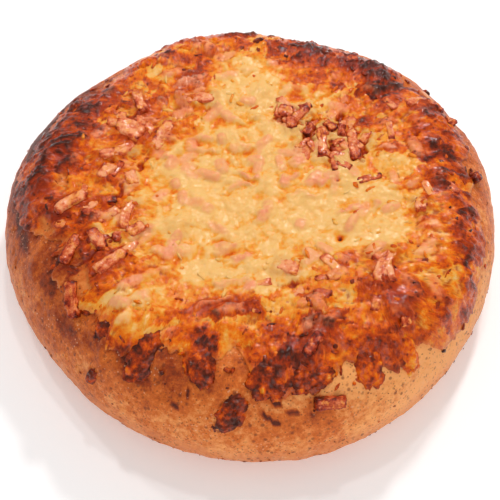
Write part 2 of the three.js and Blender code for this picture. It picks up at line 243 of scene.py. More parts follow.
@dataclass(frozen=True)
class LoafShape:
    """The skin of the loaf as a formula of place and angle.

    place is 0 in the middle of the top, 1 at the widest line and 2 at the edge of the foot.
    """

    radius: float = 83
    height: float = 40
    widest: float = 13
    crest: float = 0.72
    foot: float = 0.8
    dish: float = 3
    power: float = 2.2
    bulges: tuple[Bulge, ...] = (
        Bulge(-80, 3, 30),
        Bulge(25, 2.5, 30),
        Bulge(170, 2, 25),
        Bulge(-145, -2, 20),
        Bulge(100, -1.5, 40),
    )
    # wavelength, direction, height and phase of the dough's slow swells
    swells: tuple[tuple[float, float, float, float], ...] = (
        (62, 25, 0.5, 0.6),
        (41, 110, 0.4, 2.1),
        (29, 160, 0.25, 4.0),
    )

    def outline(self, angle: Array) -> Array:
        """The radius at the widest line."""
        return self.radius + bulges_at(self.bulges, angle)

    def section(self, place: Array) -> tuple[Array, Array]:
        """The share of the outline's radius, and the height, at each place."""
        dish = self.height - self.dish * (1 + np.cos(np.pi * place / self.crest)) / 2
        turn = np.clip((np.pi / 2) * (1 - place) / (1 - self.crest), 0, np.pi / 2)
        out = np.clip(np.cos(turn), 0, 1) ** (2 / self.power)
        rise = np.clip(np.sin(turn), 0, 1) ** (2 / self.power)
        low = np.clip((np.pi / 2) * (place - 1), 0, np.pi / 2)
        share = np.where(place <= self.crest, place, self.crest + (1 - self.crest) * out)
        level = np.where(
            place <= self.crest, dish, self.widest + (self.height - self.widest) * rise
        )
        share = np.where(place > 1, self.foot + (1 - self.foot) * np.cos(low), share)
        level = np.where(place > 1, self.widest * (1 - np.sin(low)), level)
        return share, level

    def swell(self, x: Array, y: Array) -> Array:
        """How far the dough's slow swells raise the skin."""
        total = np.zeros_like(x)
        for length, degrees, height, phase in self.swells:
            along, _ = turned(x, y, math.radians(degrees))
            total += height * np.sin(2 * np.pi * along / length + phase)
        return total

    def surface(self, place: Array, angle: Array, proud: Array | float = 0.0) -> Array:
        """Points of the skin, moved outwards by proud.

        Args:
            place: places on the section.
            angle: directions round the loaf in radians.
            proud: distance outwards in millimetres.

        Returns:
            One row of x, y and z a point.
        """
        step = 1e-3
        radius = self.outline(angle)
        share, level = self.section(place)
        share_in, level_in = self.section(np.maximum(0, place - step))
        share_out, level_out = self.section(np.minimum(2, place + step))
        side = unit(np.stack([level_in - level_out, (share_out - share_in) * radius], -1))
        x = share * radius * np.cos(angle)
        y = share * radius * np.sin(angle)
        fade = smoothstep(level, self.widest, 0.8 * self.height)
        out = proud + fade * self.swell(x, y)
        return np.stack(
            [
                x + out * side[..., 0] * np.cos(angle),
                y + out * side[..., 0] * np.sin(angle),
                level + out * side[..., 1],
            ],
            -1,
        )

    def place_at(self, x: Array, y: Array) -> Array:
        """Where on the section a point of the top lies, seen from above."""
        share = np.hypot(x, y) / self.outline(np.arctan2(y, x))
        out = np.clip((share - self.crest) / (1 - self.crest), 0, 1)
        beyond = 1 - (1 - self.crest) * np.arccos(out ** (self.power / 2)) / (np.pi / 2)
        return np.where(share <= self.crest, share, beyond)

    def seat(self, x: float, y: float, degrees: float, pitch: float = 0) -> tuple[Array, Array]:
        """Where a piece on the top lies.

        Args:
            x: its middle, to the right.
            y: its middle, to the back.
            degrees: its direction, seen from above.
            pitch: degrees by which its far end is raised.

        Returns:
            The point of the skin under it, and its length, side and height axes as columns.
        """
        step = 1.5
        px = np.array([x, x + step, x - step, x, x], float)
        py = np.array([y, y, y, y + step, y - step], float)
        p = self.surface(self.place_at(px, py), np.arctan2(py, px))
        up = unit(np.cross(p[1] - p[2], p[3] - p[4]))
        turn = math.radians(degrees)
        along = np.array([math.cos(turn), math.sin(turn), 0])
        along = unit(along - along.dot(up) * up)
        tip = -math.radians(pitch)
        axis = np.cross(up, along)
        along = along * math.cos(tip) + np.cross(axis, along) * math.sin(tip)
        side = unit(np.cross(up, along))
        return p[0], np.stack([along, side, np.cross(along, side)], 1)

    def shift(self) -> Array:
        """From the bread's own coordinates to the frame, in millimetres."""
        angle = np.arange(72) * (2 * np.pi / 72)
        points = self.surface(np.ones(72), angle)
        low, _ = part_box("loaf")
        own = points.min(0)
        return np.array([low.x / METRE - own[0], low.y / METRE - own[1], 0.0])


LOAF = LoafShape()
SHIFT = LOAF.shift()


# ---- Work on meshes ----


def deselect_all() -> None:
    """Leaves nothing selected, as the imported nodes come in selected."""
    bpy.ops.object.select_all(action="DESELECT")


def points_of(piece: Piece) -> Array:
    """The piece's vertices, one row each."""
    flat = np.empty(len(piece.data.vertices) * 3, np.float32)
    piece.data.vertices.foreach_get("co", flat)
    return flat.reshape(-1, 3).astype(float)


def set_points(piece: Piece, points: Array) -> None:
    """Moves the piece's vertices to points."""
    piece.data.vertices.foreach_set("co", np.asarray(points, np.float32).ravel())
    piece.data.update()


def to_frame(piece: Piece, points: Array) -> None:
    """Moves the vertices to points given in the bread's own millimetres."""
    set_points(piece, (points + SHIFT) * METRE)


def paint(piece: Piece, **layers: Array | float) -> None:
    """Stores named values at the vertices, which a material reads by those names."""
    count = len(piece.data.vertices)
    for name, values in layers.items():
        layer = piece.data.attributes.new(name, "FLOAT", "POINT")
        layer.data.foreach_set("value", np.broadcast_to(values, count).astype(np.float32))


def finish_piece(piece: Piece, finish: Finish, nodes: Sequence[str] = ()) -> None:
    """Smooths and dresses a piece, and ties it to the frame.

    Args:
        piece: the finished mesh.
        finish: its material.
        nodes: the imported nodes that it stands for.
    """
    piece.data.materials.clear()
    piece.data.materials.append(finish)
    piece.data.polygons.foreach_set("use_smooth", np.ones(len(piece.data.polygons), bool))
    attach(piece, "root")
    if nodes:
        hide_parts(*nodes)
    LOG.info("%s: %d faces", piece.name, len(piece.data.polygons))


def add_ball(name: str, segments: int, rings: int) -> Piece:
    """Adds a ball of radius 1 about the origin."""
    deselect_all()
    bpy.ops.mesh.primitive_uv_sphere_add(segments=segments, ring_count=rings, radius=1)
    piece = bpy.context.object
    piece.name = name
    return piece


def add_block(name: str, cuts: int) -> Piece:
    """Adds a cube from -1 to 1 whose faces are cut into squares."""
    deselect_all()
    bpy.ops.mesh.primitive_cube_add(size=2)
    piece = bpy.context.object
    piece.name = name
    bpy.ops.object.mode_set(mode="EDIT")
    bpy.ops.mesh.select_all(action="SELECT")
    bpy.ops.mesh.subdivide(number_cuts=cuts)
    bpy.ops.object.mode_set(mode="OBJECT")
    return piece


def scatter(name: str, seed_piece: Piece, copies: Sequence[Array]) -> Piece:
    """Makes one mesh of many copies of a small piece, which is then removed.

    Args:
        name: the new piece's name.
        seed_piece: the small piece that repeats.
        copies: the vertices of each copy, in the bread's own millimetres.

    Returns:
        The new piece.
    """
    faces = [tuple(f.vertices) for f in seed_piece.data.polygons]
    count = len(seed_piece.data.vertices)
    points = (np.concatenate(copies) + SHIFT) * METRE
    all_faces = [tuple(i + k * count for i in f) for k in range(len(copies)) for f in faces]
    mesh = bpy.data.meshes.new(name)
    mesh.from_pydata(points.tolist(), [], all_faces)
    mesh.update()
    piece = bpy.data.objects.new(name, mesh)
    bpy.context.scene.collection.objects.link(piece)
    bpy.data.objects.remove(seed_piece)
    return piece


@dataclass(frozen=True)
class Spot:
    """Where one small bead lies: its middle, axes as columns, half sizes and turn in radians."""

    middle: Array
    axes: Array
    half: Array
    turn: float = 0.0

    def points(self, ball: Array, seed: float) -> Array:
        """The vertices of a rough bead there, made from a ball of radius 1."""
        rough = 1 + 0.5 * grain(ball * 3 + self.middle, 2.5, 2, seed)[:, None]
        cosine, sine = math.cos(self.turn), math.sin(self.turn)
        spin = np.array([[cosine, -sine, 0], [sine, cosine, 0], [0, 0, 1]])
        return (ball * rough * self.half) @ spin.T @ self.axes.T + self.middle


def strew_beads(name: str, spots: Sequence[Spot], seed: float) -> Piece:
    """Makes one piece of small rough beads, each with a few dozen faces.

    Args:
        name: the piece's name.
        spots: where each lies.
        seed: shifts their roughness.

    Returns:
        The new piece.
    """
    bead = add_ball("bead", 8, 6)
    ball = points_of(bead)
    return scatter(name, bead, [spot.points(ball, seed) for spot in spots])


# ---- Materials ----


def linear(colour: Colour) -> tuple[float, float, float, float]:
    """A screen colour from 0 to 255 as the linear colour that a shader takes."""
    parts = [c / 255 for c in colour]
    low = [p / 12.92 if p <= 0.04045 else ((p + 0.055) / 1.055) ** 2.4 for p in parts]
    return (low[0], low[1], low[2], 1.0)


class Graph:
    """A material's nodes, added one at a time."""

    def __init__(self, name: str) -> None:
        """Starts a material of that name with its shader and its own coordinates."""
        self.material = bpy.data.materials.new(name)
        self.material.use_nodes = True
        self.tree = self.material.node_tree
        self.tree.nodes.clear()
        self.shader = self.tree.nodes.new("ShaderNodeBsdfPrincipled")
        output = self.tree.nodes.new("ShaderNodeOutputMaterial")
        self.tree.links.new(self.shader.outputs[0], output.inputs[0])
        self.place = self.tree.nodes.new("ShaderNodeTexCoord").outputs["Object"]

    def link(self, value: Socket | float | Colour, socket: Socket) -> None:
        """Links a socket, or sets a number or a screen colour."""
        if isinstance(value, Socket):
            self.tree.links.new(value, socket)
        elif isinstance(value, tuple):
            socket.default_value = linear(value)
        else:
            socket.default_value = value

    def painted(self, name: str) -> Socket:
        """Reads a value stored on the mesh."""
        node = self.tree.nodes.new("ShaderNodeAttribute")
        node.attribute_name = name
        return node.outputs["Fac"]

    def noise(self, size: float, detail: float = 4, roughness: float = 0.55) -> Socket:
        """Fractal noise whose largest features are size millimetres."""
        node = self.tree.nodes.new("ShaderNodeTexNoise")
        self.link(self.place, node.inputs["Vector"])
        node.inputs["Scale"].default_value = 1 / (size * METRE)
        node.inputs["Detail"].default_value = detail
        node.inputs["Roughness"].default_value = roughness
        return node.outputs["Fac"]

    def specks(self, size: float, low: float, high: float) -> Socket:
        """Round specks: 1 within low cell sizes of a speck's middle, and 0 beyond high."""
        node = self.tree.nodes.new("ShaderNodeTexVoronoi")
        self.link(self.place, node.inputs["Vector"])
        node.inputs["Scale"].default_value = 1 / (size * METRE)
        return self.ease(node.outputs["Distance"], high, low)

    def ease(self, value: Socket, low: float, high: float, to: float = 1.0) -> Socket:
        """Maps low to 0 and high to a value, clamped."""
        node = self.tree.nodes.new("ShaderNodeMapRange")
        self.link(value, node.inputs["Value"])
        node.inputs["From Min"].default_value = low
        node.inputs["From Max"].default_value = high
        node.inputs["To Max"].default_value = to
        return node.outputs["Result"]

    def math(self, what: str, a: Socket | float, b: Socket | float) -> Socket:
        """Arithmetic on two values."""
        node = self.tree.nodes.new("ShaderNodeMath")
        node.operation = what
        self.link(a, node.inputs[0])
        self.link(b, node.inputs[1])
        return node.outputs[0]

    def ramp(self, value: Socket, stops: Sequence[tuple[float, Colour]]) -> Socket:
        """A colour for each value, between stops."""
        node = self.tree.nodes.new("ShaderNodeValToRGB")
        elements = node.color_ramp.elements
        while len(elements) < len(stops):
            elements.new(0.5)
        for element, (position, colour) in zip(elements, stops):
            element.position = position
            element.color = linear(colour)
        self.link(value, node.inputs[0])
        return node.outputs[0]

    def mix(self, share: Socket | float, a: Socket | Colour, b: Socket | Colour) -> Socket:
        """Goes from colour a to colour b by share."""
        node = self.tree.nodes.new("ShaderNodeMix")
        node.data_type = "RGBA"
        self.link(share, node.inputs[0])
        self.link(a, node.inputs[6])
        self.link(b, node.inputs[7])
        return node.outputs[2]

    def bump(
        self, height: Socket, depth: float, strength: Socket | float, under: Socket | None = None
    ) -> Socket:
        """Fine relief of that depth in millimetres, over relief that is there already."""
        node = self.tree.nodes.new("ShaderNodeBump")
        self.link(height, node.inputs["Height"])
        node.inputs["Distance"].default_value = depth * METRE
        self.link(strength, node.inputs["Strength"])
        if under is not None:
            self.link(under, node.inputs["Normal"])
        return node.outputs[0]

    def set(self, **values: float | Socket | Colour) -> None:
        """Sets or links the shader's sockets, whose spaces are written as underscores."""
        for name, value in values.items():
            self.link(value, self.shader.inputs[name.replace("_", " ")])


@dataclass(frozen=True)
class CrustFinish:
    """Baked wholemeal crust: golden to brown, with bran specks, and paler low on the side as a painted
    reflection of the pale floor.
    """

    light: Colour = (250, 168, 96)
    golden: Colour = (216, 108, 36)
    brown: Colour = (160, 62, 16)
    dark: Colour = (92, 34, 14)
    # pale pinkish colour for the low side: a painted reflection of the pale floor
    rim: Colour = (226, 138, 86)
    bran: Colour = (120, 54, 26)
    flour: Colour = (240, 186, 146)
    roughness: float = 0.48

    def build(self) -> Finish:
        """Makes the material, which reads Bake and Rim from the mesh."""
        g = Graph("wholemeal_crust")
        blotch = g.ease(g.noise(14, 5, 0.6), 0.3, 0.7, 0.34)
        mottle = g.ease(g.noise(2.2, 6, 0.75), 0.3, 0.7, 0.5)
        bake = g.math("ADD", g.painted("Bake"), g.math("ADD", blotch, mottle))
        bake = g.math("SUBTRACT", bake, 0.42)
        base = g.ramp(
            bake, [(0.0, self.light), (0.35, self.golden), (0.7, self.brown), (1.0, self.dark)]
        )
        # painted reflection: the low side is mixed towards the pale pinkish colour
        base = g.mix(g.math("MULTIPLY", g.painted("Rim"), 0.6), base, self.rim)
        base = self.specks(g, base)
        rough = g.bump(g.noise(1.6, 6, 0.65), 0.5, 0.9)
        rough = g.bump(g.noise(0.45, 3, 0.6), 0.12, 0.7, rough)
        g.set(
            Base_Color=base, Normal=rough, Roughness=self.roughness, Subsurface_Weight=0.06,
            Subsurface_Scale=0.002, Specular_IOR_Level=0.14, Coat_Weight=0.12, Coat_Roughness=0.2,
            Coat_Normal=rough,
        )
        return g.material

    def specks(self, g: Graph, base: Socket) -> Socket:
        """Lays large and small bran specks and dots of flour over a colour."""
        large = g.math("MULTIPLY", g.specks(2.6, 0.16, 0.3), g.ease(g.noise(7), 0.4, 0.55, 0.7))
        base = g.mix(large, base, self.bran)
        fine = g.math("MULTIPLY", g.specks(1.1, 0.16, 0.32), g.ease(g.noise(4), 0.38, 0.55, 0.7))
        base = g.mix(fine, base, self.bran)
        pale = g.math("MULTIPLY", g.specks(1.5, 0.12, 0.24), g.ease(g.noise(9), 0.45, 0.6, 0.6))
        return g.mix(pale, base, self.flour)


@dataclass(frozen=True)
class CheeseFinish:
    """Melted cheese from pale yellow through orange to charred."""

    cream: Colour = (241, 188, 112)
    butter: Colour = (240, 162, 56)
    amber: Colour = (236, 118, 0)
    orange: Colour = (214, 82, 0)
    russet: Colour = (154, 48, 4)
    brown: Colour = (96, 32, 8)
    char: Colour = (66, 20, 4)
    pink: Colour = (240, 152, 108)
    # dark red for the creases, beside the ham and in the gaps: oil, and painted shade
    oil_and_shade: Colour = (172, 50, 2)
    pale_crust: Colour = (228, 136, 66)
    crust: Colour = (204, 100, 34)
    bran: Colour = (84, 34, 18)

    def build(self) -> Finish:
        """Makes the material, which reads Browning, Pink, Crease and Bare from the mesh."""
        g = Graph("melted_cheese")
        fine = g.ease(g.noise(1.7, 5, 0.7), 0.3, 0.7, 0.38)
        broad = g.ease(g.noise(7, 4, 0.6), 0.3, 0.7, 0.3)
        uneven = g.math("SUBTRACT", g.math("ADD", fine, broad), 0.34)
        uneven = g.math("MULTIPLY", uneven, g.ease(g.painted("Browning"), -0.12, 0.3))
        tone = g.math("ADD", g.painted("Browning"), uneven)
        base = g.ramp(
            tone,
            [
                (0.0, self.cream), (0.1, self.butter), (0.27, self.amber), (0.46, self.orange),
                (0.66, self.russet), (0.84, self.brown), (1.0, self.char),
            ],
        )
        blush = g.math("MULTIPLY", g.painted("Pink"), g.ease(g.noise(2.5, 5, 0.7), 0.3, 0.5))
        base = g.mix(blush, base, self.pink)
        # oil and painted shade: the creases, the cheese beside the ham and the gaps are darkened
        # towards dark red
        base = g.mix(g.math("MULTIPLY", g.painted("Crease"), 0.8), base, self.oil_and_shade)
        spot = g.math("MULTIPLY", g.specks(2.1, 0.12, 0.3), g.ease(tone, 0.3, 0.6, 0.85))
        base = g.mix(spot, base, self.brown)
        base = g.mix(g.painted("Bare"), base, self.bare_crust(g))
        rough = g.math("ADD", 0.3, g.ease(tone, 0.08, 0.4, 0.4))
        relief = g.bump(g.noise(1.3, 5, 0.65), 0.35, rough)
        relief = g.bump(g.noise(0.5, 3, 0.6), 0.16, rough, relief)
        wet = g.bump(g.noise(1.2, 4, 0.55), 0.26, 0.6)
        film = g.math("ADD", 0.22, g.ease(tone, 0.05, 0.4, 0.1))
        g.set(
            Base_Color=base, Normal=relief, Roughness=g.ease(g.noise(2), 0.35, 0.65, 0.55),
            Subsurface_Weight=0.14, Subsurface_Scale=0.002, Specular_IOR_Level=0.08,
            Coat_Weight=film, Coat_Roughness=0.1, Coat_Normal=wet,
        )
        return g.material

    def bare_crust(self, g: Graph) -> Socket:
        """The speckled crust that shows where the cheese is thin."""
        tone = g.math("ADD", g.painted("Browning"), g.ease(g.noise(2.2, 6, 0.75), 0.3, 0.7, 0.5))
        tone = g.math("SUBTRACT", tone, 0.35)
        base = g.ramp(
            tone, [(0.0, self.pale_crust), (0.3, self.crust), (0.65, self.russet), (1.0, self.char)]
        )
        fleck = g.math("MULTIPLY", g.specks(1.6, 0.16, 0.3), g.ease(g.noise(4), 0.38, 0.55, 0.8))
        return g.mix(fleck, base, self.bran)


@dataclass(frozen=True)
class HamFinish:
    """Baked ham: pink on top, red brown where it has caught, and darker low down as painted shade."""

    pink: Colour = (244, 160, 108)
    rose: Colour = (220, 102, 54)
    red: Colour = (164, 48, 16)
    brown: Colour = (82, 22, 8)
    cheese: Colour = (242, 158, 54)

    def build(self) -> Finish:
        """Makes the material, which reads Browning from the mesh."""
        g = Graph("baked_ham")
        mottle = g.ease(g.noise(1.8, 6, 0.78), 0.36, 0.64, 0.6)
        tone = g.math("SUBTRACT", g.math("ADD", g.painted("Browning"), mottle), 0.3)
        base = g.ramp(
            tone, [(0.0, self.pink), (0.35, self.rose), (0.7, self.red), (1.0, self.brown)]
        )
        patchy = g.ease(g.noise(3.4, 4, 0.6), 0.5, 0.62, 0.65)
        film = g.math("MULTIPLY", patchy, g.ease(tone, 0.6, 0.3))
        base = g.mix(film, base, self.cheese)
        relief = g.bump(g.noise(0.9, 5, 0.65), 0.3, 0.8)
        wet = g.bump(g.noise(1.5, 3, 0.5), 0.25, 0.5)
        g.set(
            Base_Color=base, Normal=relief, Roughness=g.ease(g.noise(2), 0.35, 0.65, 0.6),
            Subsurface_Weight=0.1, Subsurface_Scale=0.002, Specular_IOR_Level=0.08,
            Coat_Weight=0.34, Coat_Roughness=0.14, Coat_Normal=wet,
        )
        return g.material


@dataclass(frozen=True)
class FloorFinish:
    """A plain pale floor."""

    pale: Colour = (255, 255, 255)
    shade: Colour = (252, 252, 252)
    glow: float = 0.14  # lit from below, as a light table is

    def build(self) -> Finish:
        """Makes the material."""
        g = Graph("pale_floor")
        g.set(Base_Color=g.mix(g.noise(300, 2), self.pale, self.shade), Roughness=0.8)
        g.set(Emission_Color=self.pale, Emission_Strength=self.glow)
        return g.material


# ---- How the top has baked ----


@dataclass(frozen=True)
class Baking:
    """How brown the top is: darker outwards, with patches that have caught or stayed pale."""

    pale_within: float = 16
    brown_from: float = 66
    least: float = 0.06  # browning in the middle
    rise: float = 0.52  # and how much more of it there is outside
    ragged: float = 7  # how far the rings of browning waver
    wander: float = 4  # how far the patches' borders waver
    streaks: float = 0.16
    darkest: float = 0.88
    # where the cheese has pooled and stayed pale; strength is how much it lightens
    pools: tuple[Patch, ...] = (
        Patch(0, 42, 80, 34, 24, 0.5),  # back arm
        Patch(10, 8, 0, 54, 40, 0.5),  # middle
        Patch(36, -12, -10, 44, 30, 0.5),  # right arm
        Patch(-8, -20, 20, 40, 34, 0.45),  # left of the middle
        Patch(0, -36, 0, 46, 16, 0.35),  # front
        Patch(-36, -48, 30, 28, 20, 0.42),  # front left, yellow
        Patch(24, -74, 0, 10, 5, 0.6),  # behind the front strip of ham
        Patch(63, -40, -75, 26, 6, 0.25),  # right, a streaky band
        Patch(53, -2, 85, 34, 14, 0.28),  # right, orange
        Patch(56, -28, 80, 26, 15, 0.3),
        Patch(56, 38, 0, 8, 6, 0.4),  # back right
        Patch(22, 38, 0, 16, 14, 0.3),
        Patch(-52, 14, 0, 10, 7, 0.35),
        Patch(-58, 1, 0, 14, 10, 0.3),
        Patch(-32, 47, 0, 12, 16, 0.3),
        Patch(-46, -19, 0, 8, 10, 0.3),
        Patch(-53, -43, 0, 10, 8, 0.35),
        Patch(-15, 61, 0, 20, 5, 0.3),
    )
    # where it has caught; strength is how much it darkens
    scorches: tuple[Patch, ...] = (
        Patch(64, -4, 90, 90, 24, 0.08),  # the whole right side
        Patch(-58, -2, 85, 60, 22, 0.13),  # the whole left side
        Patch(-72, 22, 78, 62, 22, 0.85),  # left edge
        Patch(-64, 26, 68, 50, 18, 0.5),  # and further in
        Patch(-68, 20, 80, 14, 9, 0.25),
        Patch(-70, -9, 0, 14, 8, 0.3),
        Patch(-64, -22, 40, 15, 6, 0.3),
        Patch(-46, 33, 30, 17, 4, 0.35),  # a dark ridge, back left
        Patch(-54, -15, 85, 12, 4, 0.3),
        Patch(-50, -59, 70, 12, 9, 0.45),  # clumps along the front left edge
        Patch(-35, -61, 0, 16, 9, 0.45),
        Patch(-15, -61, 70, 14, 10, 0.45),
        Patch(6, -57, 0, 14, 9, 0.4),  # front
        Patch(6, -71, 90, 14, 10, 0.35),
        Patch(18, -71, 15, 18, 11, 0.45),
        Patch(38, -64, 0, 14, 10, 0.2),  # front right
        Patch(48, -63, 80, 14, 8, 0.14),
        Patch(56, -57, 0, 12, 10, 0.08),
        Patch(69, -26, -85, 60, 9, 0.26),  # right edge
        Patch(68, -14, 60, 16, 10, 0.45),
        Patch(55, -17, 0, 13, 6, 0.35),
        Patch(61, 14, 0, 12, 8, 0.45),
        Patch(72, 17, 80, 20, 10, 0.3),
        Patch(48, 49, -30, 34, 12, 0.36),  # back right edge
        Patch(17, 58, 0, 30, 11, 0.36),  # back edge
        Patch(-22, 56, 0, 20, 6, 0.25),
        Patch(23, 27, 0, 11, 7, 0.35),  # among the ham behind the middle
    )
    # where the cheese is so thin that the crust shows
    bare: tuple[Patch, ...] = (
        Patch(-57, -34, -60, 20, 12, 0.9),
        Patch(-64, -18, -70, 14, 6, 0.6),
        Patch(-62, 2, -60, 10, 6, 0.7),
    )
    # gaps between the pieces of ham, sunk and painted dark red as painted shade
    gaps: tuple[Patch, ...] = (
        Patch(20, 22, 80, 16, 5, 1),
        Patch(29, 26, 60, 12, 4, 0.9),
        Patch(27, 13, 85, 13, 3.5, 1),
        Patch(13, 29, 0, 16, 9, 0.7),
        Patch(38, 14, 80, 14, 3, 0.8),
        Patch(-41, 27, 30, 14, 3, 0.8),
        Patch(-50, -29, 40, 14, 3, 0.8),
        Patch(-36, 9, 60, 10, 3, 0.7),
        Patch(-62, -14, 30, 12, 3, 0.8),
        Patch(38, -40, 65, 14, 3, 0.8),
        Patch(-44, -6, 70, 16, 3, 0.7),
        Patch(14, -40, 20, 14, 3, 0.6),
    )
    blushes: tuple[Patch, ...] = (
        Patch(-16, 44, 0, 14, 8, 0.8),
        Patch(24, -20, 0, 12, 10, 0.7),
        Patch(20, -48, 20, 16, 6, 0.7),
        Patch(-24, -15, 0, 14, 12, 0.8),
        Patch(-31, -29, 0, 12, 16, 0.7),
        Patch(34, -35, 20, 18, 9, 0.8),
        Patch(-40, 4, 0, 10, 14, 0.6),
        Patch(-34, 24, 30, 18, 12, 0.6),
        Patch(28, 10, 90, 18, 12, 0.6),
        Patch(6, -28, 10, 24, 10, 0.5),
        Patch(-8, 26, 60, 26, 14, 0.6),
        Patch(4, 4, 0, 30, 12, 0.7),
        Patch(28, -24, -10, 26, 10, 0.8),
        Patch(-4, 52, 80, 16, 10, 0.8),
        Patch(-22, 2, 70, 24, 12, 0.5),
    )

    def browning(self, x: Array, y: Array) -> Array:
        """How brown each point is, from 0, pale, to 1, charred."""
        points = on_plane(x, y)
        out = np.hypot(x, y) + self.ragged * grain(points, 22, 3, 1)
        base = self.least + self.rise * smoothstep(out, self.pale_within, self.brown_from)
        wander_x = x + self.wander * grain(points, 13, 3, 2)
        wander_y = y + self.wander * grain(points, 13, 3, 3)
        lighter = strongest(self.pools, wander_x, wander_y)
        broken = np.clip(0.7 + 0.7 * grain(points, 3, 3, 18), 0.1, 1.15)
        darker = strongest(self.scorches, wander_x, wander_y) * broken
        streak = self.streaks * grain(points * np.array([1.0, 1.6, 1.0]), 4.5, 4, 4)
        palest = 0.01 + 0.14 * smoothstep(out, 38, 58)
        return np.clip(base - lighter + darker + streak * (0.4 + base), palest, self.darkest)

    def blush(self, x: Array, y: Array) -> Array:
        """How pink each point is from ham that shows through."""
        scattered = 0.9 * smoothstep(grain(on_plane(x, y), 9, 3, 20), 0.1, 0.45)
        return np.maximum(strongest(self.blushes, x, y), scattered)

    def gap(self, x: Array, y: Array) -> Array:
        """How far each point lies in a gap between pieces of ham, from 0 to 1."""
        points = on_plane(x, y)
        torn = 1.6 * grain(points, 4, 3, 33)
        total = strongest(self.gaps, x + torn, y - torn)
        return smoothstep(total + 0.25 * grain(points, 2.5, 3, 34), 0.3, 0.75)

    def bareness(self, x: Array, y: Array) -> Array:
        """How much of the crust shows through at each point, from about 0.3 on."""
        points = on_plane(x, y)
        torn = 4 * grain(points, 7, 4, 22)
        return strongest(self.bare, x + torn, y - torn) + 0.1 * grain(points, 3, 3, 23)


BAKING = Baking()


# ---- The loaf ----


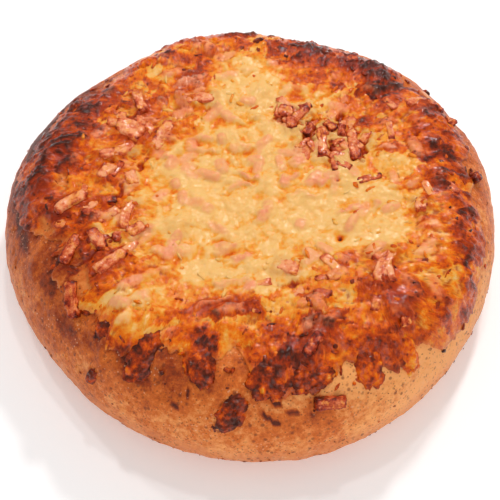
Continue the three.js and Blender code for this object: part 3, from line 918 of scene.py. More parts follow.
@dataclass
class Loaf:
    """The loaf's crust, fine enough for its pits and wrinkles."""

    segments: int = 600
    rings: int = 150
    hidden_share: float = 0.14  # share of the rings that lie under the cheese
    bare_from: float = 0.7
    foot_from: float = 0.9  # share of the rings after which the flat foot begins
    # heights of the fine wrinkles, the slow unevenness and the pits, and how far the skin is drawn in
    wrinkle: float = 0.34
    uneven: float = 0.35
    pit: float = 0.45
    drawn_in: float = 0.1
    # how brown the crust is; how much darker to the left; how much browner at the shoulder; how much
    # paler at the front right, which is painted light; and how much browner at the burnt edge
    browning: float = 0.22
    left_darkening: float = 0.14
    shoulder_browning: float = 0.1
    right_painted_light: float = -0.36
    caught_browning: float = 0.5
    edge_browning: float = 0.25  # beside the cheese
    caught: Patch = Patch(-74, 22, 75, 70, 30, 1)
    # dark stains on the side: x in degrees round the loaf, y in hundredths of a place
    stains: tuple[Patch, ...] = (
        Patch(-84, 84.5, 0, 2.4, 1.8, 0.9),
        Patch(-85.5, 88.6, 30, 4.5, 1.4, 0.9),
        Patch(-80.5, 87.2, 15, 5, 1, 0.8),
        Patch(-75.5, 87.6, -40, 3.4, 1.1, 0.7),
        Patch(-104, 84, 0, 2.5, 2, 0.8),
        Patch(-107, 88, 0, 2, 2, 0.7),
        Patch(-52, 85, 0, 3, 2.5, 0.7),
        Patch(-118, 84, 20, 10, 4, 0.35),
        Patch(-140, 88, 0, 9, 6, 0.3),
        Patch(-152, 84, 0, 8, 5, 0.4),
        Patch(-170, 86, 0, 14, 5, 0.4),
    )
    # pale floury places, in the same way
    floury: tuple[Patch, ...] = (
        Patch(-76, 82, -10, 24, 8, 0.35),
        Patch(-60, 84, 10, 22, 10, 0.4),
        Patch(-40, 88, 0, 20, 8, 0.2),
    )
    # raised folds, in the same way; strength is their height in millimetres
    folds: tuple[Patch, ...] = (
        Patch(-128, 84, 70, 9, 2.2, 0.9),
        Patch(-114, 80, 80, 9, 2, 0.8),
        Patch(-134, 82, 20, 5, 3, 0.8),
        Patch(-122, 86, -20, 4, 3, 0.7),
        Patch(-97, 91, 60, 5, 1.6, 0.6),
        Patch(-146, 80, 60, 10, 2.5, 0.8),
        Patch(-58, 80, 100, 8, 1.6, 0.7),
        Patch(-158, 86, 40, 7, 3, 0.6),
    )

    def places(self, share: Array) -> Array:
        """Places on the section for shares of the way from the top pole to the foot."""
        knots = [0, self.hidden_share, self.foot_from, 1]
        return np.interp(share, knots, [0, self.bare_from, 2, 3])

    def build(self, finish: Finish) -> None:
        """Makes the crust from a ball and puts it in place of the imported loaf."""
        piece = add_ball("crust", self.segments, self.rings)
        ball = points_of(piece)
        share = np.arccos(np.clip(ball[:, 2], -1, 1)) / np.pi
        place = self.places(share)
        angle = np.arctan2(ball[:, 1], ball[:, 0])
        rough = LOAF.surface(np.minimum(place, 2), angle)
        side = smoothstep(place, 0.72, 0.8) * (1 - smoothstep(place, 1.75, 1.95))
        wrinkles = self.wrinkle * grain(rough, 5, 4, 5) + self.uneven * grain(rough, 18, 2, 6)
        pits = -self.pit * smoothstep(grain(rough, 2.2, 2, 7), 0.35, 0.7)
        degrees, hundredths = np.degrees(angle), 100 * place
        folds = sum(fold.strength * fold.cover(degrees, hundredths) for fold in self.folds)
        proud = side * (wrinkles + pits - self.drawn_in) + folds
        points = LOAF.surface(np.minimum(place, 2), angle, proud)
        under = place > 2
        shrink = np.where(under, np.maximum(0, 3 - place), 1)
        points[:, 0] *= shrink
        points[:, 1] *= shrink
        points[under, 2] = 0
        to_frame(piece, points)
        self.bake(piece, points, place, angle)
        finish_piece(piece, finish, ["loaf"])

    def bake(self, piece: Piece, points: Array, place: Array, angle: Array) -> None:
        """Paints how brown the crust is: darker to the left and up, with stains and flour, and paler
        at the front right and low on the side as painted light.

        Args:
            piece: the crust.
            points: its vertices in the bread's own millimetres.
            place: their places on the section.
            angle: their directions round the loaf.
        """
        rough = LOAF.surface(np.minimum(place, 2), angle)
        degrees, hundredths = np.degrees(angle), 100 * place
        level = points[:, 2] / LOAF.height
        # darker towards the left
        left = smoothstep(-points[:, 0], -10, 80)
        shoulder = smoothstep(level, 0.45, 0.95)
        # painted light: the front right of the side is made paler, as lit from the front
        right = smoothstep(points[:, 0], 10, 70) * smoothstep(-points[:, 1], 10, 60)
        stained = self.edge_browning * smoothstep(-place, -0.98, -0.8)
        stained *= np.clip(0.6 + grain(rough, 8, 3, 21), 0, 1)
        caught = self.caught.cover(points[:, 0], points[:, 1]) * shoulder
        ragged = 1.1 * grain(rough, 2.5, 4, 32)
        marks = [
            mark.strength * smoothstep(mark.cover(degrees + ragged, hundredths + ragged), 0.2, 0.7)
            for mark in self.stains
        ]
        marks += [-pale.strength * pale.cover(degrees, hundredths) for pale in self.floury]
        stained += sum(marks)
        bake = self.browning + self.left_darkening * left + self.shoulder_browning * shoulder
        bake += self.right_painted_light * right + stained + self.caught_browning * caught
        # the low part of the side is painted paler, as a painted reflection of the floor
        paint(piece, Bake=bake, Rim=1 - smoothstep(level, 0.3, 0.5))


# ---- The cheese ----


@dataclass(frozen=True)
class HamPiece:
    """A strip or cube of ham: middle, direction, length, width and height, bend and pitch."""

    x: float
    y: float
    degrees: float
    size: tuple[float, float, float]
    bend: float = 0
    pitch: float = 0
    browning: float = 0.35


STRIPS: dict[str, HamPiece] = {
    "ham_left_1": HamPiece(-58, -9, 35, (12, 4, 4), browning=0.15),
    "ham_left_2": HamPiece(-57, -26, 60, (11, 4, 4), browning=0.5),
    "ham_left_3": HamPiece(-49, -24, -60, (9, 4, 4), browning=0.4),
    "ham_left_4": HamPiece(-44, -32, 40, (12, 4, 4), browning=0.3),
    "ham_left_5": HamPiece(-56, -42, 85, (12, 4, 4), browning=0.5),
    "ham_left_6": HamPiece(-40, -14, 75, (13, 3.5, 4), bend=1.5, browning=0.25),
    "ham_left_7": HamPiece(-45, 13, 25, (13, 3.5, 4), bend=-1, browning=0.25),
    "ham_left_8": HamPiece(-41, 22, -30, (10, 7, 4.5), browning=0.2),
    "ham_left_9": HamPiece(-30, 21, 65, (13, 4.5, 4), browning=0.2),
    "ham_left_10": HamPiece(-38, 34, -70, (10, 3.5, 4), browning=0.35),
    "ham_left_11": HamPiece(-18, 36, 0, (12, 4.5, 4), browning=0.25),
    "ham_left_12": HamPiece(-67, -3, 55, (9, 4, 4), browning=0.55),
    "ham_right_1": HamPiece(24, 17, 90, (13, 3.5, 4.5), pitch=-4, browning=0.35),
    "ham_right_2": HamPiece(35, 16, -85, (13, 4, 4.5), browning=0.4),
    "ham_right_3": HamPiece(42, -34, 65, (14, 4, 4), bend=1, browning=0.2),
    "ham_front_1": HamPiece(19, -62, 60, (9, 3.5, 4), browning=0.8),
    "ham_front_2": HamPiece(24, -76, 0, (10, 4, 4), browning=0.62),
}
BITS: tuple[HamPiece, ...] = (
    HamPiece(-37, -20, 40, (7, 4, 4), browning=0.3),
    HamPiece(-48, 4, 50, (7, 4, 4), browning=0.1),
    HamPiece(-40, 2, -70, (6, 4, 4), browning=0.15),
    HamPiece(-46, -8, 15, (4, 3, 3.5), browning=0.7),
    HamPiece(-49, -16, -15, (3.5, 3, 3), browning=0.6),
    HamPiece(12, 31, -10, (5, 5, 4.5), browning=0.45),
    HamPiece(18, 29, -10, (4.5, 4, 4), browning=0.5),
    HamPiece(18, 17, 35, (7, 3, 3.5), browning=0.4),
    HamPiece(30, 18, 20, (6, 3, 4), browning=0.5),
    HamPiece(27, 24.5, 130, (5, 3, 4.5), browning=0.6),
    HamPiece(31, 22, 80, (5, 2.6, 5), browning=0.5),
    HamPiece(29, 11, -20, (5, 4, 4), browning=0.3),
    HamPiece(20, 23, 60, (5, 3, 4), browning=0.6),
    HamPiece(14, 26, 100, (5, 3.4, 4.5), browning=0.5),
    HamPiece(19, 33, 30, (4.5, 3, 4), browning=0.45),
    HamPiece(39, 19, 60, (6, 3, 4), browning=0.35),
    HamPiece(33, 5, 85, (9, 4, 3), browning=0.1),
    HamPiece(56, -8, 0, (4, 3.5, 3.5), browning=0.5),
    HamPiece(45, -47, -5, (4, 3, 3.5), browning=0.8),
    HamPiece(47, -52, 10, (3.5, 3, 3.5), browning=0.5),
    HamPiece(68, 30, 30, (5, 3, 3.5), browning=0.5),
    HamPiece(75, 7, 40, (5, 3, 3.5), browning=0.95),
    HamPiece(63, 36, -30, (7, 3, 4), browning=0.6),
    HamPiece(35, 55, 35, (6, 4, 4.5), browning=0.75),
    HamPiece(1, -50, 0, (4, 3, 3.5), browning=0.5),
    HamPiece(12, -34, -20, (8, 5.5, 4), browning=0.2),
)


@dataclass
class CheeseSheet:
    """The melted sheet, with its lumps, shreds, bubbles and pits."""

    cells_a_side: int = 286
    gap: float = 0.3
    edge: float = 0.2
    rim: float = 2.4
    pool: float = 3.4
    reach: float = 0.83
    thinnest: float = 0.15
    border: float = 0.05  # how wide the thin border is, as a place on the section
    taper: float = 0.1  # and over how much of the section the sheet grows to its thickness
    bare_flattening: float = 0.6  # how much flatter it is where the crust shows through
    sunk: float = 5  # how far below the crust the hidden skirt goes
    skirt: float = 0.006  # and how far past the edge, as a place on the section
    bulges: tuple[Bulge, ...] = (
        Bulge(-35, 0.1, 25),
        Bulge(100, 0.03, 25),
        Bulge(175, 0.03, 20),
        Bulge(-165, -0.03, 15),
        Bulge(-95, -0.05, 15),
    )
    # where the crust shows between the clumps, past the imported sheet's edge
    bays: tuple[Bulge, ...] = (
        Bulge(-133, -0.05, 5),
        Bulge(-112, -0.07, 7),
        Bulge(-95, -0.06, 4.5),
        Bulge(-64, -0.06, 6),
        Bulge(-47, -0.05, 4),
        Bulge(-160, -0.03, 6),
        Bulge(5, -0.03, 8),
        Bulge(40, -0.03, 6),
        Bulge(140, -0.03, 10),
    )
    lump_count: int = 70
    lump_seed: int = 20
    lump_reach: float = 0.84  # share of the loaf's radius
    lump_clearance: float = 8  # distance from the middle of a strip of ham
    buried: tuple[Lump, ...] = (
        Lump(-26, 14, 50, 15, 5, 1.7),
        Lump(-27, 38, 0, 10, 5, 1.7),
        Lump(-65, -22, 40, 13, 6, 1.7),
        Lump(-69, 5, 55, 16, 6, 1.7),
        Lump(31, 3, 90, 13, 6, 1.7),
        Lump(33, -41, -15, 13, 6, 1.7),
        Lump(18, -50, 25, 14, 6, 1.7),
        Lump(-23, -18, 45, 9, 5, 1.7),
    )
    # middle, width and depth of holes between pieces, which are painted dark as painted shade
    pits: tuple[tuple[float, float, float, float], ...] = (
        (-58, 14, 2, 1.4), (-70, 15, 2, 1.2), (30, 24, 2, 2), (35, 10, 2.5, 1.8),
        (28, 12, 1.5, 1.6), (29, 1, 1.5, 1.4), (29, -22, 2, 1.6), (27, -39, 1.6, 1.2),
        (21, 25, 3, 2), (-53, -21, 2, 1.6), (-49, -36, 2, 2), (56, 20, 2, 1.6),
        (-63, -11, 2.5, 1), (-46, 9, 1.6, 1.2),
    )
    shred_count: int = 430
    shred_spread: float = 80  # how far from the middle they lie
    shred_seed: int = 7
    shred_share: float = 0.7
    bubble: float = 0.55  # height of the bubbles where it is brown
    ripple: float = 0.5
    chunk: float = 5.5
    chunk_stretch: float = 1.9
    ridge_degrees: float = 18
    chunk_height: float = 1.35
    morsel_count: int = 120
    morsel_spread: float = 70
    morsel_seed: int = 11
    gap_depth: float = 1.2
    climb: float = 1.3  # how far the cheese has crept up the ham
    climb_uneven: float = 0.7
    creep: float = 1.8  # over how many millimetres beside it
    bare_ham: float = 3  # ham no thicker than this lies in the cheese, which hasn't crept up it
    top_margin: float = 1.2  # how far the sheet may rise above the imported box
    softness: float = 0.7  # over how many millimetres it is held back below that
    # how many cells round a point its crests, broad swells and creases are judged against
    crest_cells: int = 6
    swell_cells: int = 15
    crease_cells: int = 2
    # how much darker the holes are painted, as painted shade
    hole_shade: float = 0.45
    # how much oil and painted shade darken the cheese beside the ham
    oil_and_shade_beside_ham: float = 0.6
    skin: Array = field(default_factory=lambda: np.zeros((0, 3)))  # its upper side, once built

    def reach_at(self, angle: Array) -> Array:
        """How far the sheet reaches, as a place on the loaf's section."""
        return self.reach + bulges_at(self.bulges, angle)

    def ragged_reach(self, angle: Array) -> Array:
        """The same, with the small bays of the real edge."""
        ring = 60 * on_plane(np.cos(angle), np.sin(angle))
        torn = 0.03 * grain(ring, 10, 5, 8) + 0.01 * grain(ring, 2.5, 2, 26)
        return self.reach_at(angle) + bulges_at(self.bays, angle) + torn

    def lumps(self) -> list[Lump]:
        """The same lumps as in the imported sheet."""
        draw = seeded_draw(self.lump_seed)
        golden = math.pi * (3 - math.sqrt(5))
        found = list(self.buried)
        for i in range(self.lump_count):
            out = LOAF.radius * self.lump_reach * math.sqrt((i + 0.5) / self.lump_count)
            angle = i * golden + 0.5 * draw()
            x, y = out * math.cos(angle), out * math.sin(angle)
            degrees = 180 * draw()
            length = 9 + 6 * draw()
            width = 6 + 3 * draw()
            height = 0.6 + 1.1 * draw()
            away = [math.hypot(ham.x - x, ham.y - y) for ham in STRIPS.values()]
            if min(away) >= self.lump_clearance:
                found.append(Lump(x, y, degrees, length, width, height))
        return found

    def thickness(self, x: Array, y: Array, place: Array, reach: Array) -> Array:
        """The sheet's thickness with its lumps."""
        pooled = smoothstep(1 - place / LOAF.crest, 0, 0.8)
        inner = smoothstep(reach - place, 0, self.taper)
        sheet = self.rim + (self.pool - self.rim) * pooled
        swollen = np.zeros_like(x)
        for lump in self.lumps():
            swollen += lump.height * np.exp(-lump.away(x, y))
        return self.edge + (sheet - self.edge + swollen) * inner

    def shreds(self, x: Array, y: Array) -> Array:
        """Ridges of half-melted shreds, as a height."""
        draw = np.random.default_rng(self.shred_seed)
        total = np.zeros_like(x)
        for _ in range(self.shred_count):
            out = self.shred_spread * math.sqrt(draw.random())
            turn = 2 * math.pi * draw.random()
            cx, cy = out * math.cos(turn), out * math.sin(turn)
            way = math.pi * draw.random()
            half, wide = draw.uniform(3, 7), draw.uniform(0.9, 1.6)
            tall, bow = draw.uniform(0.3, 0.85), draw.uniform(-0.06, 0.06)
            near = np.flatnonzero((np.abs(x - cx) < half + 2) & (np.abs(y - cy) < half + 2))
            along, across = turned(x[near] - cx, y[near] - cy, way)
            across += bow * along**2
            beyond = np.maximum(0, np.abs(along) - half + wide)
            away = (across**2 + beyond**2) / wide**2
            total[near] = np.maximum(total[near], tall * np.sqrt(np.clip(1 - away, 0, 1)))
        return total

    def morsels(self, x: Array, y: Array) -> Array:
        """Short ends of ham under the cheese, as a height."""
        draw = np.random.default_rng(self.morsel_seed)
        total = np.zeros_like(x)
        for _ in range(self.morsel_count):
            out = self.morsel_spread * math.sqrt(draw.random())
            turn = 2 * math.pi * draw.random()
            cx, cy = out * math.cos(turn), out * math.sin(turn)
            way = math.pi * draw.random()
            half, wide, tall = draw.uniform(2.4, 5), draw.uniform(1.6, 2.4), draw.uniform(0.5, 1.2)
            near = np.flatnonzero((np.abs(x - cx) < half + 2) & (np.abs(y - cy) < half + 2))
            along, across = turned(x[near] - cx, y[near] - cy, way)
            within = np.abs(along / half) ** 3 + np.abs(across / wide) ** 3
            crown = np.clip(1 - within, 0, 1) ** 0.7
            total[near] = np.maximum(total[near], tall * crown)
        return total

    def pieces(self, bed: Array) -> tuple[Array, Array]:
        """The pieces of cheese and ham that the sheet has melted over, drawn out along the ridges."""
        along, across = turned(bed[:, 0], bed[:, 1], math.radians(self.ridge_degrees))
        warp = self.chunk * 0.45
        flat = on_plane(along / self.chunk_stretch, across)
        flat[:, 0] += warp * grain(bed, 8, 3, 24)
        flat[:, 1] += warp * grain(bed, 8, 3, 25)
        return chunks(flat, self.chunk, crest=0.8)

    def above_its_surroundings(self, flat: Array, height: Array, cells_away: int) -> Array:
        """How far each point stands above the mean of the cells round it, in millimetres."""
        side = self.cells_a_side
        column, row = np.rint((flat[:, :2].T + 1) / 2 * side).astype(int)
        top = flat[:, 2] > -0.5
        sheet = np.zeros((side + 1, side + 1))
        sheet[row[top], column[top]] = height[top]
        return height - blurred(sheet, cells_away)[row, column]

    def beside_ham(self, x: Array, y: Array) -> Array:
        """1 against the side of a piece of ham, fading to 0 within a few millimetres."""
        total = np.zeros_like(x)
        for ham in (*STRIPS.values(), *BITS):
            if ham.size[2] <= self.bare_ham:
                continue
            along, across = turned(x - ham.x, y - ham.y, math.radians(ham.degrees))
            beyond = np.maximum(np.abs(along) - ham.size[0] / 2, 0)
            aside = np.maximum(np.abs(across) - ham.size[1] / 2, 0)
            away = np.hypot(beyond, aside)
            total = np.maximum(total, np.exp(-((away / self.creep) ** 2)))
        return total

    def seat(self, x: float, y: float) -> Array:
        """The point of the built sheet nearest to a place seen from above."""
        return self.skin[np.argmin((self.skin[:, 0] - x) ** 2 + (self.skin[:, 1] - y) ** 2)]

    def make_disc(self) -> Piece:
        """A square grid whose border is drawn down and closed underneath."""
        deselect_all()
        side = self.cells_a_side
        bpy.ops.mesh.primitive_grid_add(x_subdivisions=side, y_subdivisions=side, size=2)
        piece = bpy.context.object
        piece.name = "cheese_sheet"
        bpy.ops.object.mode_set(mode="EDIT")
        bpy.ops.mesh.select_mode(type="EDGE")
        bpy.ops.mesh.select_all(action="DESELECT")
        bpy.ops.mesh.select_non_manifold()
        bpy.ops.mesh.extrude_region_move(TRANSFORM_OT_translate={"value": (0, 0, -1)})
        bpy.ops.mesh.extrude_region_move(TRANSFORM_OT_translate={"value": (0, 0, -1)})
        bpy.ops.mesh.merge(type="CENTER")
        bpy.ops.object.mode_set(mode="OBJECT")
        return piece

    def unrolled(self, flat: Array) -> tuple[Array, Array]:
        """Where the points of the square grid fall on a disc.

        Args:
            flat: the grid's points, from -1 to 1 each way.

        Returns:
            The share of the way out to the sheet's edge, and the angle, of each point.
        """
        a, b = flat[:, 0], flat[:, 1]
        wide = np.abs(a) > np.abs(b)
        tiny = 1e-9  # keeps the middle from a division by 0
        safe_a = np.where(np.abs(a) < tiny, tiny, a)
        safe_b = np.where(np.abs(b) < tiny, tiny, b)
        out = np.where(wide, a, b)
        turn = np.where(wide, (np.pi / 4) * b / safe_a, np.pi / 2 - (np.pi / 4) * a / safe_b)
        return np.abs(out), turn + np.where(out < 0, np.pi, 0)

    def holes(self, x: Array, y: Array, gap: Array) -> Array:
        """How deep the pits, and the gaps between pieces of ham, are at each point."""
        deep = self.gap_depth * gap
        for px, py, width, depth in self.pits:
            away = ((x - px) ** 2 + (y - py) ** 2) / (width / 2) ** 2
            deep = np.maximum(deep, depth * np.exp(-away))
        return deep

    def held_down(self, height: Array) -> Array:
        """The heights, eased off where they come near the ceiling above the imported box."""
        ceiling = CAD_BOX[1].z / METRE + self.top_margin
        return ceiling - self.softness * np.logaddexp(0, (ceiling - height) / self.softness)

    def build(self, finish: Finish) -> None:
        """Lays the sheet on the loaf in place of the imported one."""
        piece = self.make_disc()
        flat = points_of(piece)
        out, angle = self.unrolled(flat)
        reach = self.ragged_reach(angle)
        place = out * reach
        bed = LOAF.surface(place, angle)
        x, y = bed[:, 0], bed[:, 1]
        brown = BAKING.browning(x, y)
        border = 1 - smoothstep(reach - place, 0.0, self.border)
        bare = smoothstep(BAKING.bareness(x, y) + 0.5 * border, 0.3, 0.6)
        inner = smoothstep(reach - place, 0, self.taper) * (1 - 0.85 * bare)
        baked = smoothstep(brown, 0.15, 0.5)
        shreds = self.shreds(x, y) * (0.6 + 0.4 * baked)
        morsels = self.morsels(x, y)
        crown, own = self.pieces(bed)
        pieces = self.chunk_height * crown * (0.5 + own)
        bubbles = self.bubble * cells(bed, 2.1, 1) * smoothstep(brown, 0.5, 0.75)
        ripple = self.ripple * grain(bed, 5, 3, 9) + (0.1 + 0.22 * baked) * grain(bed, 1.7, 3, 10)
        gap = BAKING.gap(x, y)
        holes = self.holes(x, y, gap)
        beside = self.beside_ham(x, y)
        crept = self.climb * beside * (1 + self.climb_uneven * grain(bed, 3.2, 2, 42))
        body = np.maximum(np.maximum(pieces, morsels), crept)
        relief = (body + self.shred_share * shreds + bubbles + ripple) * (0.4 + 0.6 * inner)
        flattened = 1 - self.bare_flattening * bare
        relief = relief * flattened - holes
        thick = self.thickness(x, y, place, reach) * flattened
        points = LOAF.surface(place, angle, np.maximum(self.gap + thick + relief, self.thinnest))
        top, pole = flat[:, 2] > -0.5, flat[:, 2] < -1.5
        skirt = ~top & ~pole
        points[skirt] = LOAF.surface(reach[skirt] + self.skirt, angle[skirt], -self.sunk)
        points[pole] = (0, 0, LOAF.height - LOAF.dish - 2 * self.sunk)
        points[:, 2] = self.held_down(points[:, 2])
        self.skin = points[top]
        to_frame(piece, points)
        crest = self.above_its_surroundings(flat, thick + relief, self.crest_cells)
        swell = self.above_its_surroundings(flat, thick + relief, self.swell_cells)
        crease = -self.above_its_surroundings(flat, relief, self.crease_cells)
        # holes are painted darker as painted shade; crests are darker where it is brown, as they have
        # caught, while where it is pale, crests are painted paler and hollows and broad hollows
        # darker, as painted highlight and shade
        tone = brown + self.hole_shade * smoothstep(holes, 0.5, 1.6)
        tone += crest * (0.34 * baked - 0.15) - 0.1 * swell * (1 - baked)
        tone += (own - 0.5) * (0.12 + 0.14 * baked)
        pale = 1 - smoothstep(brown, 0.35, 0.65)
        blush = (0.5 + BAKING.blush(x, y)) * smoothstep(own, 0.2, 0.55)
        blush = blush * smoothstep(crown, 0.2, 0.8) + 0.7 * smoothstep(morsels, 0.1, 0.7)
        pink = np.clip(blush, 0, 1) * pale
        # oil and painted shade beside the ham, stronger where it has browned
        outline = self.oil_and_shade_beside_ham * smoothstep(beside, 0.4, 0.9)
        outline = outline * (0.35 + 0.65 * baked) * inner
        # oil and painted shade in the creases where it has browned, and in the gaps
        creases = np.maximum(smoothstep(crease, 0.06, 0.3) * smoothstep(brown, 0.1, 0.35), outline)
        creases = np.maximum(creases, gap)
        paint(piece, Browning=np.clip(tone, 0, 1), Pink=pink, Crease=creases, Bare=bare)
        finish_piece(piece, finish, ["cheese"])


@dataclass
class Clumps:
    """Bubbly clumps where the cheese has run over the crust, and the two drips that lie apart."""

    tongues: tuple[Lump, ...] = (
        Lump(-44, -52, 50, 12, 9, 1.8),
        Lump(-33, -63, 60, 16, 10, 1.8),
        Lump(-15, -66, 95, 16, 10, 1.8),
        Lump(6, -68, 90, 20, 14, 2.2),
        Lump(18, -70, 20, 18, 10, 2.0),
        Lump(36, -65, 100, 15, 10, 1.8),
        Lump(48, -59, 120, 15, 8, 1.8),
    )
    tongue_browning: tuple[float, ...] = (0.72, 0.74, 0.7, 0.7, 0.72, 0.58, 0.4)
    # knobs of cheese along the back edge, and how brown each is
    knobs: tuple[tuple[Lump, float], ...] = (
        (Lump(-36, 55, 30, 10, 7, 3.6), 0.5),
        (Lump(-22, 61, 10, 9, 6, 4), 0.34),
        (Lump(-13, 64, 0, 8, 6, 4.2), 0.3),
        (Lump(-5, 65, -10, 9, 6, 4), 0.36),
        (Lump(3, 64, 20, 7, 5, 4.2), 0.8),
        (Lump(16, 62, -20, 12, 7, 3.6), 0.82),
        (Lump(27, 59, -30, 9, 6, 3.6), 0.74),
        (Lump(-60, 36, 50, 9, 6, 3), 0.78),
    )
    drips: dict[str, Lump] = field(
        default_factory=lambda: {
            "cheese_drip_front": Lump(-6, -80, 65, 14, 8, 2.0),
            "cheese_drip_left": Lump(-50, -63, 40, 8, 4, 1.6),
        }
    )
    drip_browning: float = 0.78
    gap: float = 0.3
    sunk: float = 0.6
    torn: float = 0.34  # how ragged the border is, as a share of the size
    bubble: float = 2.6
    bubble_height: float = 1.3

    def lens(self, name: str, lump: Lump, browning: float) -> Piece:
        """One clump as a bubbly lens on the crust.

        Args:
            name: the piece's name.
            lump: its place and size.
            browning: how brown it is in the middle.

        Returns:
            The piece, before it is tied to the frame.
        """
        piece = add_ball(name, 64, 40)
        ball = points_of(piece)
        point, axes = LOAF.seat(lump.x, lump.y, lump.degrees)
        size = np.array([lump.length / 2, lump.width / 2, self.gap + lump.height + self.sunk])
        edge = 1 + self.torn * grain(ball * 6, 2.6, 3, lump.x) * (1 - np.abs(ball[:, 2]))
        local = ball * size * np.stack([edge, edge, np.ones_like(edge)], -1)
        local[:, 2] -= self.sunk
        world = local @ axes.T + point
        crown, own = chunks(world, self.bubble, 2, 0.9)
        lift = self.bubble_height * crown * own + 0.4 * grain(world, 1.5, 2, 11) - 0.45
        world += axes[:, 2] * (lift * smoothstep(ball[:, 2], 0, 0.5))[:, None]
        to_frame(piece, world)
        tone = browning + 0.3 * grain(world, 3, 4, 12) - 0.55 * crown * smoothstep(own, 0.5, 0.8)
        paint(piece, Browning=np.clip(tone, 0.08, 0.88), Pink=0, Crease=0, Bare=0)
        return piece

    def build(self, finish: Finish) -> None:
        """Makes the tongues, the knobs and the drips."""
        clumps = [*zip(self.tongues, self.tongue_browning), *self.knobs]
        for number, (clump, browning) in enumerate(clumps, 1):
            piece = self.lens(f"cheese_clump_{number}", clump, browning)
            finish_piece(piece, finish)
        for name, drip in self.drips.items():
            piece = self.lens(f"{name}_baked", drip, self.drip_browning)
            finish_piece(piece, finish, [name])


# ---- The ham ----


@dataclass
class Ham:
    """The strips and cubes of ham."""

    bed: float = 1.2
    buried_bed: float = -1.2
    sheet_edge: float = 0.08
    cuts: int = 11
    # how uneven the strips are: narrower at one end, askew and twisted
    taper: float = 0.16
    skew: float = 0.3
    twist: float = 0.5

    def shape(self, name: str, ham: HamPiece, sheet: CheeseSheet) -> Piece:
        """One strip or cube with worn, torn sides.

        Args:
            name: the piece's name.
            ham: its place and size.
            sheet: the cheese that it lies in.

        Returns:
            The piece, with its browning stored.
        """
        piece = add_block(name, self.cuts)
        v = points_of(piece)
        x, y, z = v[:, 0], v[:, 1], v[:, 2]
        half = np.array(ham.size) / 2
        own = np.full((1, 3), ham.x * 1.7 + ham.y)
        taper = self.taper * grain(own, 1, 1, 27)
        skew = self.skew * grain(own, 1, 1, 28)
        twist = self.twist * grain(own, 1, 1, 29)
        local = np.stack(
            [
                x * half[0] * (1 - 0.05 * (y * y + z * z) ** 1.5) + skew * y,
                y * half[1] * (1 - 0.1 * z**4 - 0.08 * x**6 + taper * x) + ham.bend * (0.5 - x * x),
                z * half[2] * (1 - 0.1 * y**4 - 0.12 * x**6) + twist * x * y,
            ],
            -1,
        )
        point, axes = LOAF.seat(ham.x, ham.y, ham.degrees, ham.pitch)
        here = np.array([float(ham.x)]), np.array([float(ham.y)])
        inner = LOAF.place_at(*here) < sheet.reach_at(np.arctan2(here[1], here[0])) - self.sheet_edge
        seat_height = (self.bed if inner[0] else self.buried_bed) + ham.size[2] / 2
        _, level_axes = LOAF.seat(ham.x, ham.y, ham.degrees)
        world = local @ axes.T + point + level_axes[:, 2] * seat_height
        fibres = grain(local * np.array([0.3, 1.0, 1.0]) + ham.x, 1.2, 3, 14)
        torn = 0.5 * grain(world, 2.6, 3, 13) + 0.2 * fibres - 0.05
        world += unit(local / half) @ axes.T * torn[:, None]
        to_frame(piece, world)
        ends = 0.3 * smoothstep(np.abs(x), 0.75, 1)
        # painted shade: the lower part of each piece is darker
        low = 0.3 * (1 - smoothstep(z, -0.2, 0.9))
        edges = 0.2 * smoothstep(np.abs(y) + np.maximum(z, 0), 1.5, 2)
        tone = ham.browning + ends + low + edges + 0.5 * grain(world, 2.2, 4, 15) - 0.1
        paint(piece, Browning=np.clip(tone, 0, 1))
        return piece

    def build(self, sheet: CheeseSheet, finish: Finish) -> None:
        """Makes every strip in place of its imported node, and the short ends in the sheet."""
        for name, ham in STRIPS.items():
            piece = self.shape(f"{name}_baked", ham, sheet)
            finish_piece(piece, finish, [name])
        for number, ham in enumerate(BITS, 1):
            finish_piece(self.shape(f"ham_bit_{number}", ham, sheet), finish)


# ---- Small things ----


def half_sizes(draw: Draws, *ranges: tuple[float, float]) -> Array:
    """Draws half a length, half a width and half a height, each between two values."""
    return np.array([draw.uniform(*limits) for limits in ranges])


@dataclass(frozen=True)
class Strewing:
    """How many scraps lie about a middle, and how far they spread each way."""

    x: float
    y: float
    spread: float
    count: int


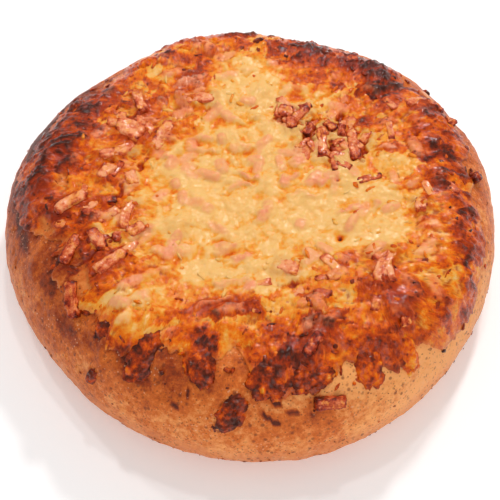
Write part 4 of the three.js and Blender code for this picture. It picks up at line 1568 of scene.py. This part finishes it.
@dataclass
class Scraps:
    """Torn scraps of ham, and grains of browned cheese, that lie in the sheet's skin."""

    ham: tuple[Strewing, ...] = (
        Strewing(-46, -18, 12, 8),  # left
        Strewing(-38, 22, 10, 6),  # back left
        Strewing(24, 20, 7, 12),  # behind the right of the middle
        Strewing(30, 13, 8, 8),
        Strewing(13, 31, 5, 6),
        Strewing(34, -38, 12, 6),  # right front
        Strewing(12, -46, 12, 4),
        Strewing(48, 32, 12, 5),  # back right
        Strewing(58, 0, 9, 3),
    )
    grain_count: int = 300
    grain_reach: float = 76  # how far from the middle the grains lie
    seed: int = 43
    sunk: float = 0.7  # share of a scrap's half height that lies in the sheet

    def build(self, sheet: CheeseSheet, cheese: Finish, ham: Finish) -> None:
        """Strews both kinds over the built sheet."""
        draw = np.random.default_rng(self.seed)
        self.strew_ham(draw, sheet, ham)
        self.strew_grains(draw, sheet, cheese)

    def strew_ham(self, draw: Draws, sheet: CheeseSheet, finish: Finish) -> None:
        """Lays the scraps of ham."""
        block = add_block("scrap", 5)
        cube = points_of(block)
        worn = cube * (1 - 0.24 * (cube**2).sum(1, keepdims=True) / 3)
        copies, tones = [], []
        for area in self.ham:
            for _ in range(area.count):
                x = area.x + area.spread * draw.normal(0, 0.6)
                y = area.y + area.spread * draw.normal(0, 0.6)
                half = half_sizes(draw, (2.4, 5.4), (1.1, 2), (0.8, 1.3))
                _, axes = LOAF.seat(x, y, draw.uniform(0, 180), draw.uniform(-12, 12))
                local = worn * half
                world = local @ axes.T + sheet.seat(x, y) - axes[:, 2] * self.sunk * half[2]
                world += unit(local) @ axes.T * (0.65 * grain(world, 2.2, 3, 30))[:, None]
                copies.append(world)
                tones.append(np.clip(draw.uniform(0, 0.5) + 0.4 * np.abs(cube[:, 0]) ** 4, 0, 1))
        piece = scatter("ham_scraps", block, copies)
        paint(piece, Browning=np.concatenate(tones))
        finish_piece(piece, finish)

    def strew_grains(self, draw: Draws, sheet: CheeseSheet, finish: Finish) -> None:
        """Lays the grains of cheese, mostly where it has browned."""
        angles = draw.uniform(-math.pi, math.pi, self.grain_count)
        outs = self.grain_reach * np.sqrt(draw.uniform(0.16, 1, self.grain_count))
        brown = BAKING.browning(outs * np.cos(angles), outs * np.sin(angles))
        spots, tones = [], []
        for angle, out, tone in zip(angles, outs, brown):
            x, y = out * math.cos(angle), out * math.sin(angle)
            _, axes = LOAF.seat(x, y, draw.uniform(0, 180))
            half = half_sizes(draw, (0.6, 2.2), (0.4, 0.9), (0.3, 0.55))
            spots.append(Spot(sheet.seat(x, y) - 0.2 * axes[:, 2], axes, half))
            tones.append(np.clip(tone + draw.normal(0.04, 0.16), 0, 0.95))
        piece = strew_beads("cheese_grains", spots, 31)
        tone = np.repeat(tones, len(piece.data.vertices) // len(spots))
        paint(piece, Browning=tone, Pink=0, Crease=0, Bare=0)
        finish_piece(piece, finish)


@dataclass
class Crumbs:
    """Browned crumbs of cheese along the sheet's edge, and bran on the crust."""

    edge_count: int = 60
    bran_count: int = 240
    lowest_place: float = 1.45  # how far down the side the bran lies, as a place on the section
    seed: int = 31

    def build(self, sheet: CheeseSheet, cheese: Finish, crust: Finish) -> None:
        """Strews both kinds."""
        draw = np.random.default_rng(self.seed)
        piece = strew_beads("cheese_crumbs", self.crumb_spots(draw, sheet), 19)
        world = points_of(piece) / METRE
        tone = np.clip(0.62 + 0.4 * grain(world, 9, 3, 16), 0, 1)
        paint(piece, Browning=tone, Pink=0, Crease=0, Bare=0)
        finish_piece(piece, cheese)

        piece = strew_beads("bran_flakes", self.bran_spots(draw, sheet), 19)
        world = points_of(piece) / METRE
        paint(piece, Bake=np.clip(0.75 + 0.5 * grain(world, 6, 2, 17), 0, 1.2), Rim=0)
        finish_piece(piece, crust)

    def crumb_spots(self, draw: Draws, sheet: CheeseSheet) -> list[Spot]:
        """Places the crumbs of cheese along the sheet's edge."""
        spots = []
        for _ in range(self.edge_count):
            angle = draw.uniform(-math.pi, math.pi)
            place = float(sheet.reach_at(np.array([angle]))[0]) + draw.normal(-0.015, 0.015)
            here = np.array([place]), np.array([angle])
            middle = LOAF.surface(*here, draw.uniform(0, 0.4))[0]
            _, axes = LOAF.seat(middle[0], middle[1], 0)
            half = half_sizes(draw, (0.6, 1.7), (0.5, 1.1), (0.3, 0.6))
            spots.append(Spot(middle, axes, half, draw.uniform(0, math.pi)))
        return spots

    def bran_spots(self, draw: Draws, sheet: CheeseSheet) -> list[Spot]:
        """Places the flakes of bran over the bare side, lying flat on it."""
        spots = []
        for _ in range(self.bran_count):
            angle = draw.uniform(-math.pi, math.pi)
            least = float(sheet.reach_at(np.array([angle]))[0]) + 0.01
            here = np.array([draw.uniform(least, self.lowest_place)]), np.array([angle])
            middle = LOAF.surface(*here, 0.02)[0]
            out = unit(LOAF.surface(*here, 1.0)[0] - LOAF.surface(*here, 0.0)[0])
            level = unit(np.array([-math.sin(angle), math.cos(angle), 0.0]))
            axes = np.stack([level, np.cross(out, level), out], 1)
            half = half_sizes(draw, (0.2, 0.7), (0.15, 0.4), (0.1, 0.2))
            spots.append(Spot(middle, axes, half, draw.uniform(0, math.pi)))
        return spots


# ---- The studio ----


@dataclass(frozen=True)
class Lamp:
    """A square soft light: its place, the half width of its panel, and its power in watts."""

    name: str
    place: tuple[float, float, float]
    half: float
    power: float


@dataclass
class Studio:
    """The floor, the soft light and the camera."""

    elevation: float = 55
    distance: float = 470
    target: tuple[float, float, float] = (0, -9, 20)
    lens: float = 100
    sensor: float = 36
    floor_half: float = 2000
    sky: float = 0.48
    lamps: tuple[Lamp, ...] = (
        Lamp("key_light", (300, 760, 900), 58, 5.2),
        Lamp("left_glint", (-420, 620, 900), 34, 1.6),
        Lamp("top_glint", (60, 380, 1150), 34, 1.4),
        Lamp("fill_light", (250, -900, 650), 350, 3.0),
    )

    def build(self, finish: Finish) -> None:
        """Makes the whole set."""
        deselect_all()
        bpy.ops.mesh.primitive_plane_add(size=2 * self.floor_half * METRE)
        floor = bpy.context.object
        floor.name = "floor"
        floor.data.materials.append(finish)
        for lamp in self.lamps:
            self.hang(lamp)
        world = bpy.data.worlds.new("soft_white")
        world.use_nodes = True
        world.node_tree.nodes["Background"].inputs[0].default_value = (1, 1, 1, 1)
        world.node_tree.nodes["Background"].inputs[1].default_value = self.sky
        bpy.context.scene.world = world
        bpy.context.scene.view_settings.view_transform = "Standard"
        self.camera()

    def hang(self, lamp: Lamp) -> None:
        """Adds a soft light that faces the bread."""
        light = bpy.data.lights.new(lamp.name, "AREA")
        light.size = 2 * lamp.half * METRE
        light.energy = lamp.power
        hung = bpy.data.objects.new(lamp.name, light)
        bpy.context.scene.collection.objects.link(hung)
        hung.location = Vector(lamp.place) * METRE
        hung.rotation_euler = (-Vector(lamp.place)).to_track_quat("-Z", "Y").to_euler()

    def camera(self) -> None:
        """Sets the camera where the photograph was taken from."""
        rise = math.radians(self.elevation)
        back = Vector((0, -math.cos(rise), math.sin(rise)))
        data = bpy.data.cameras.new("camera")
        data.lens = self.lens
        data.sensor_width = self.sensor
        camera = bpy.data.objects.new("camera", data)
        bpy.context.scene.collection.objects.link(camera)
        camera.location = (Vector(self.target) + self.distance * back) * METRE
        camera.rotation_euler = (-back).to_track_quat("-Z", "Y").to_euler()
        bpy.context.scene.camera = camera


def main() -> None:
    """Builds the bread, then the studio."""
    logging.basicConfig(level=logging.INFO)
    crust = CrustFinish().build()
    cheese = CheeseFinish().build()
    ham = HamFinish().build()
    sheet = CheeseSheet()
    Loaf().build(crust)
    sheet.build(cheese)
    Clumps().build(cheese)
    Ham().build(sheet, ham)
    Scraps().build(sheet, cheese, ham)
    Crumbs().build(sheet, cheese, crust)
    Studio().build(FloorFinish().build())


if __name__ == "__main__":
    main()
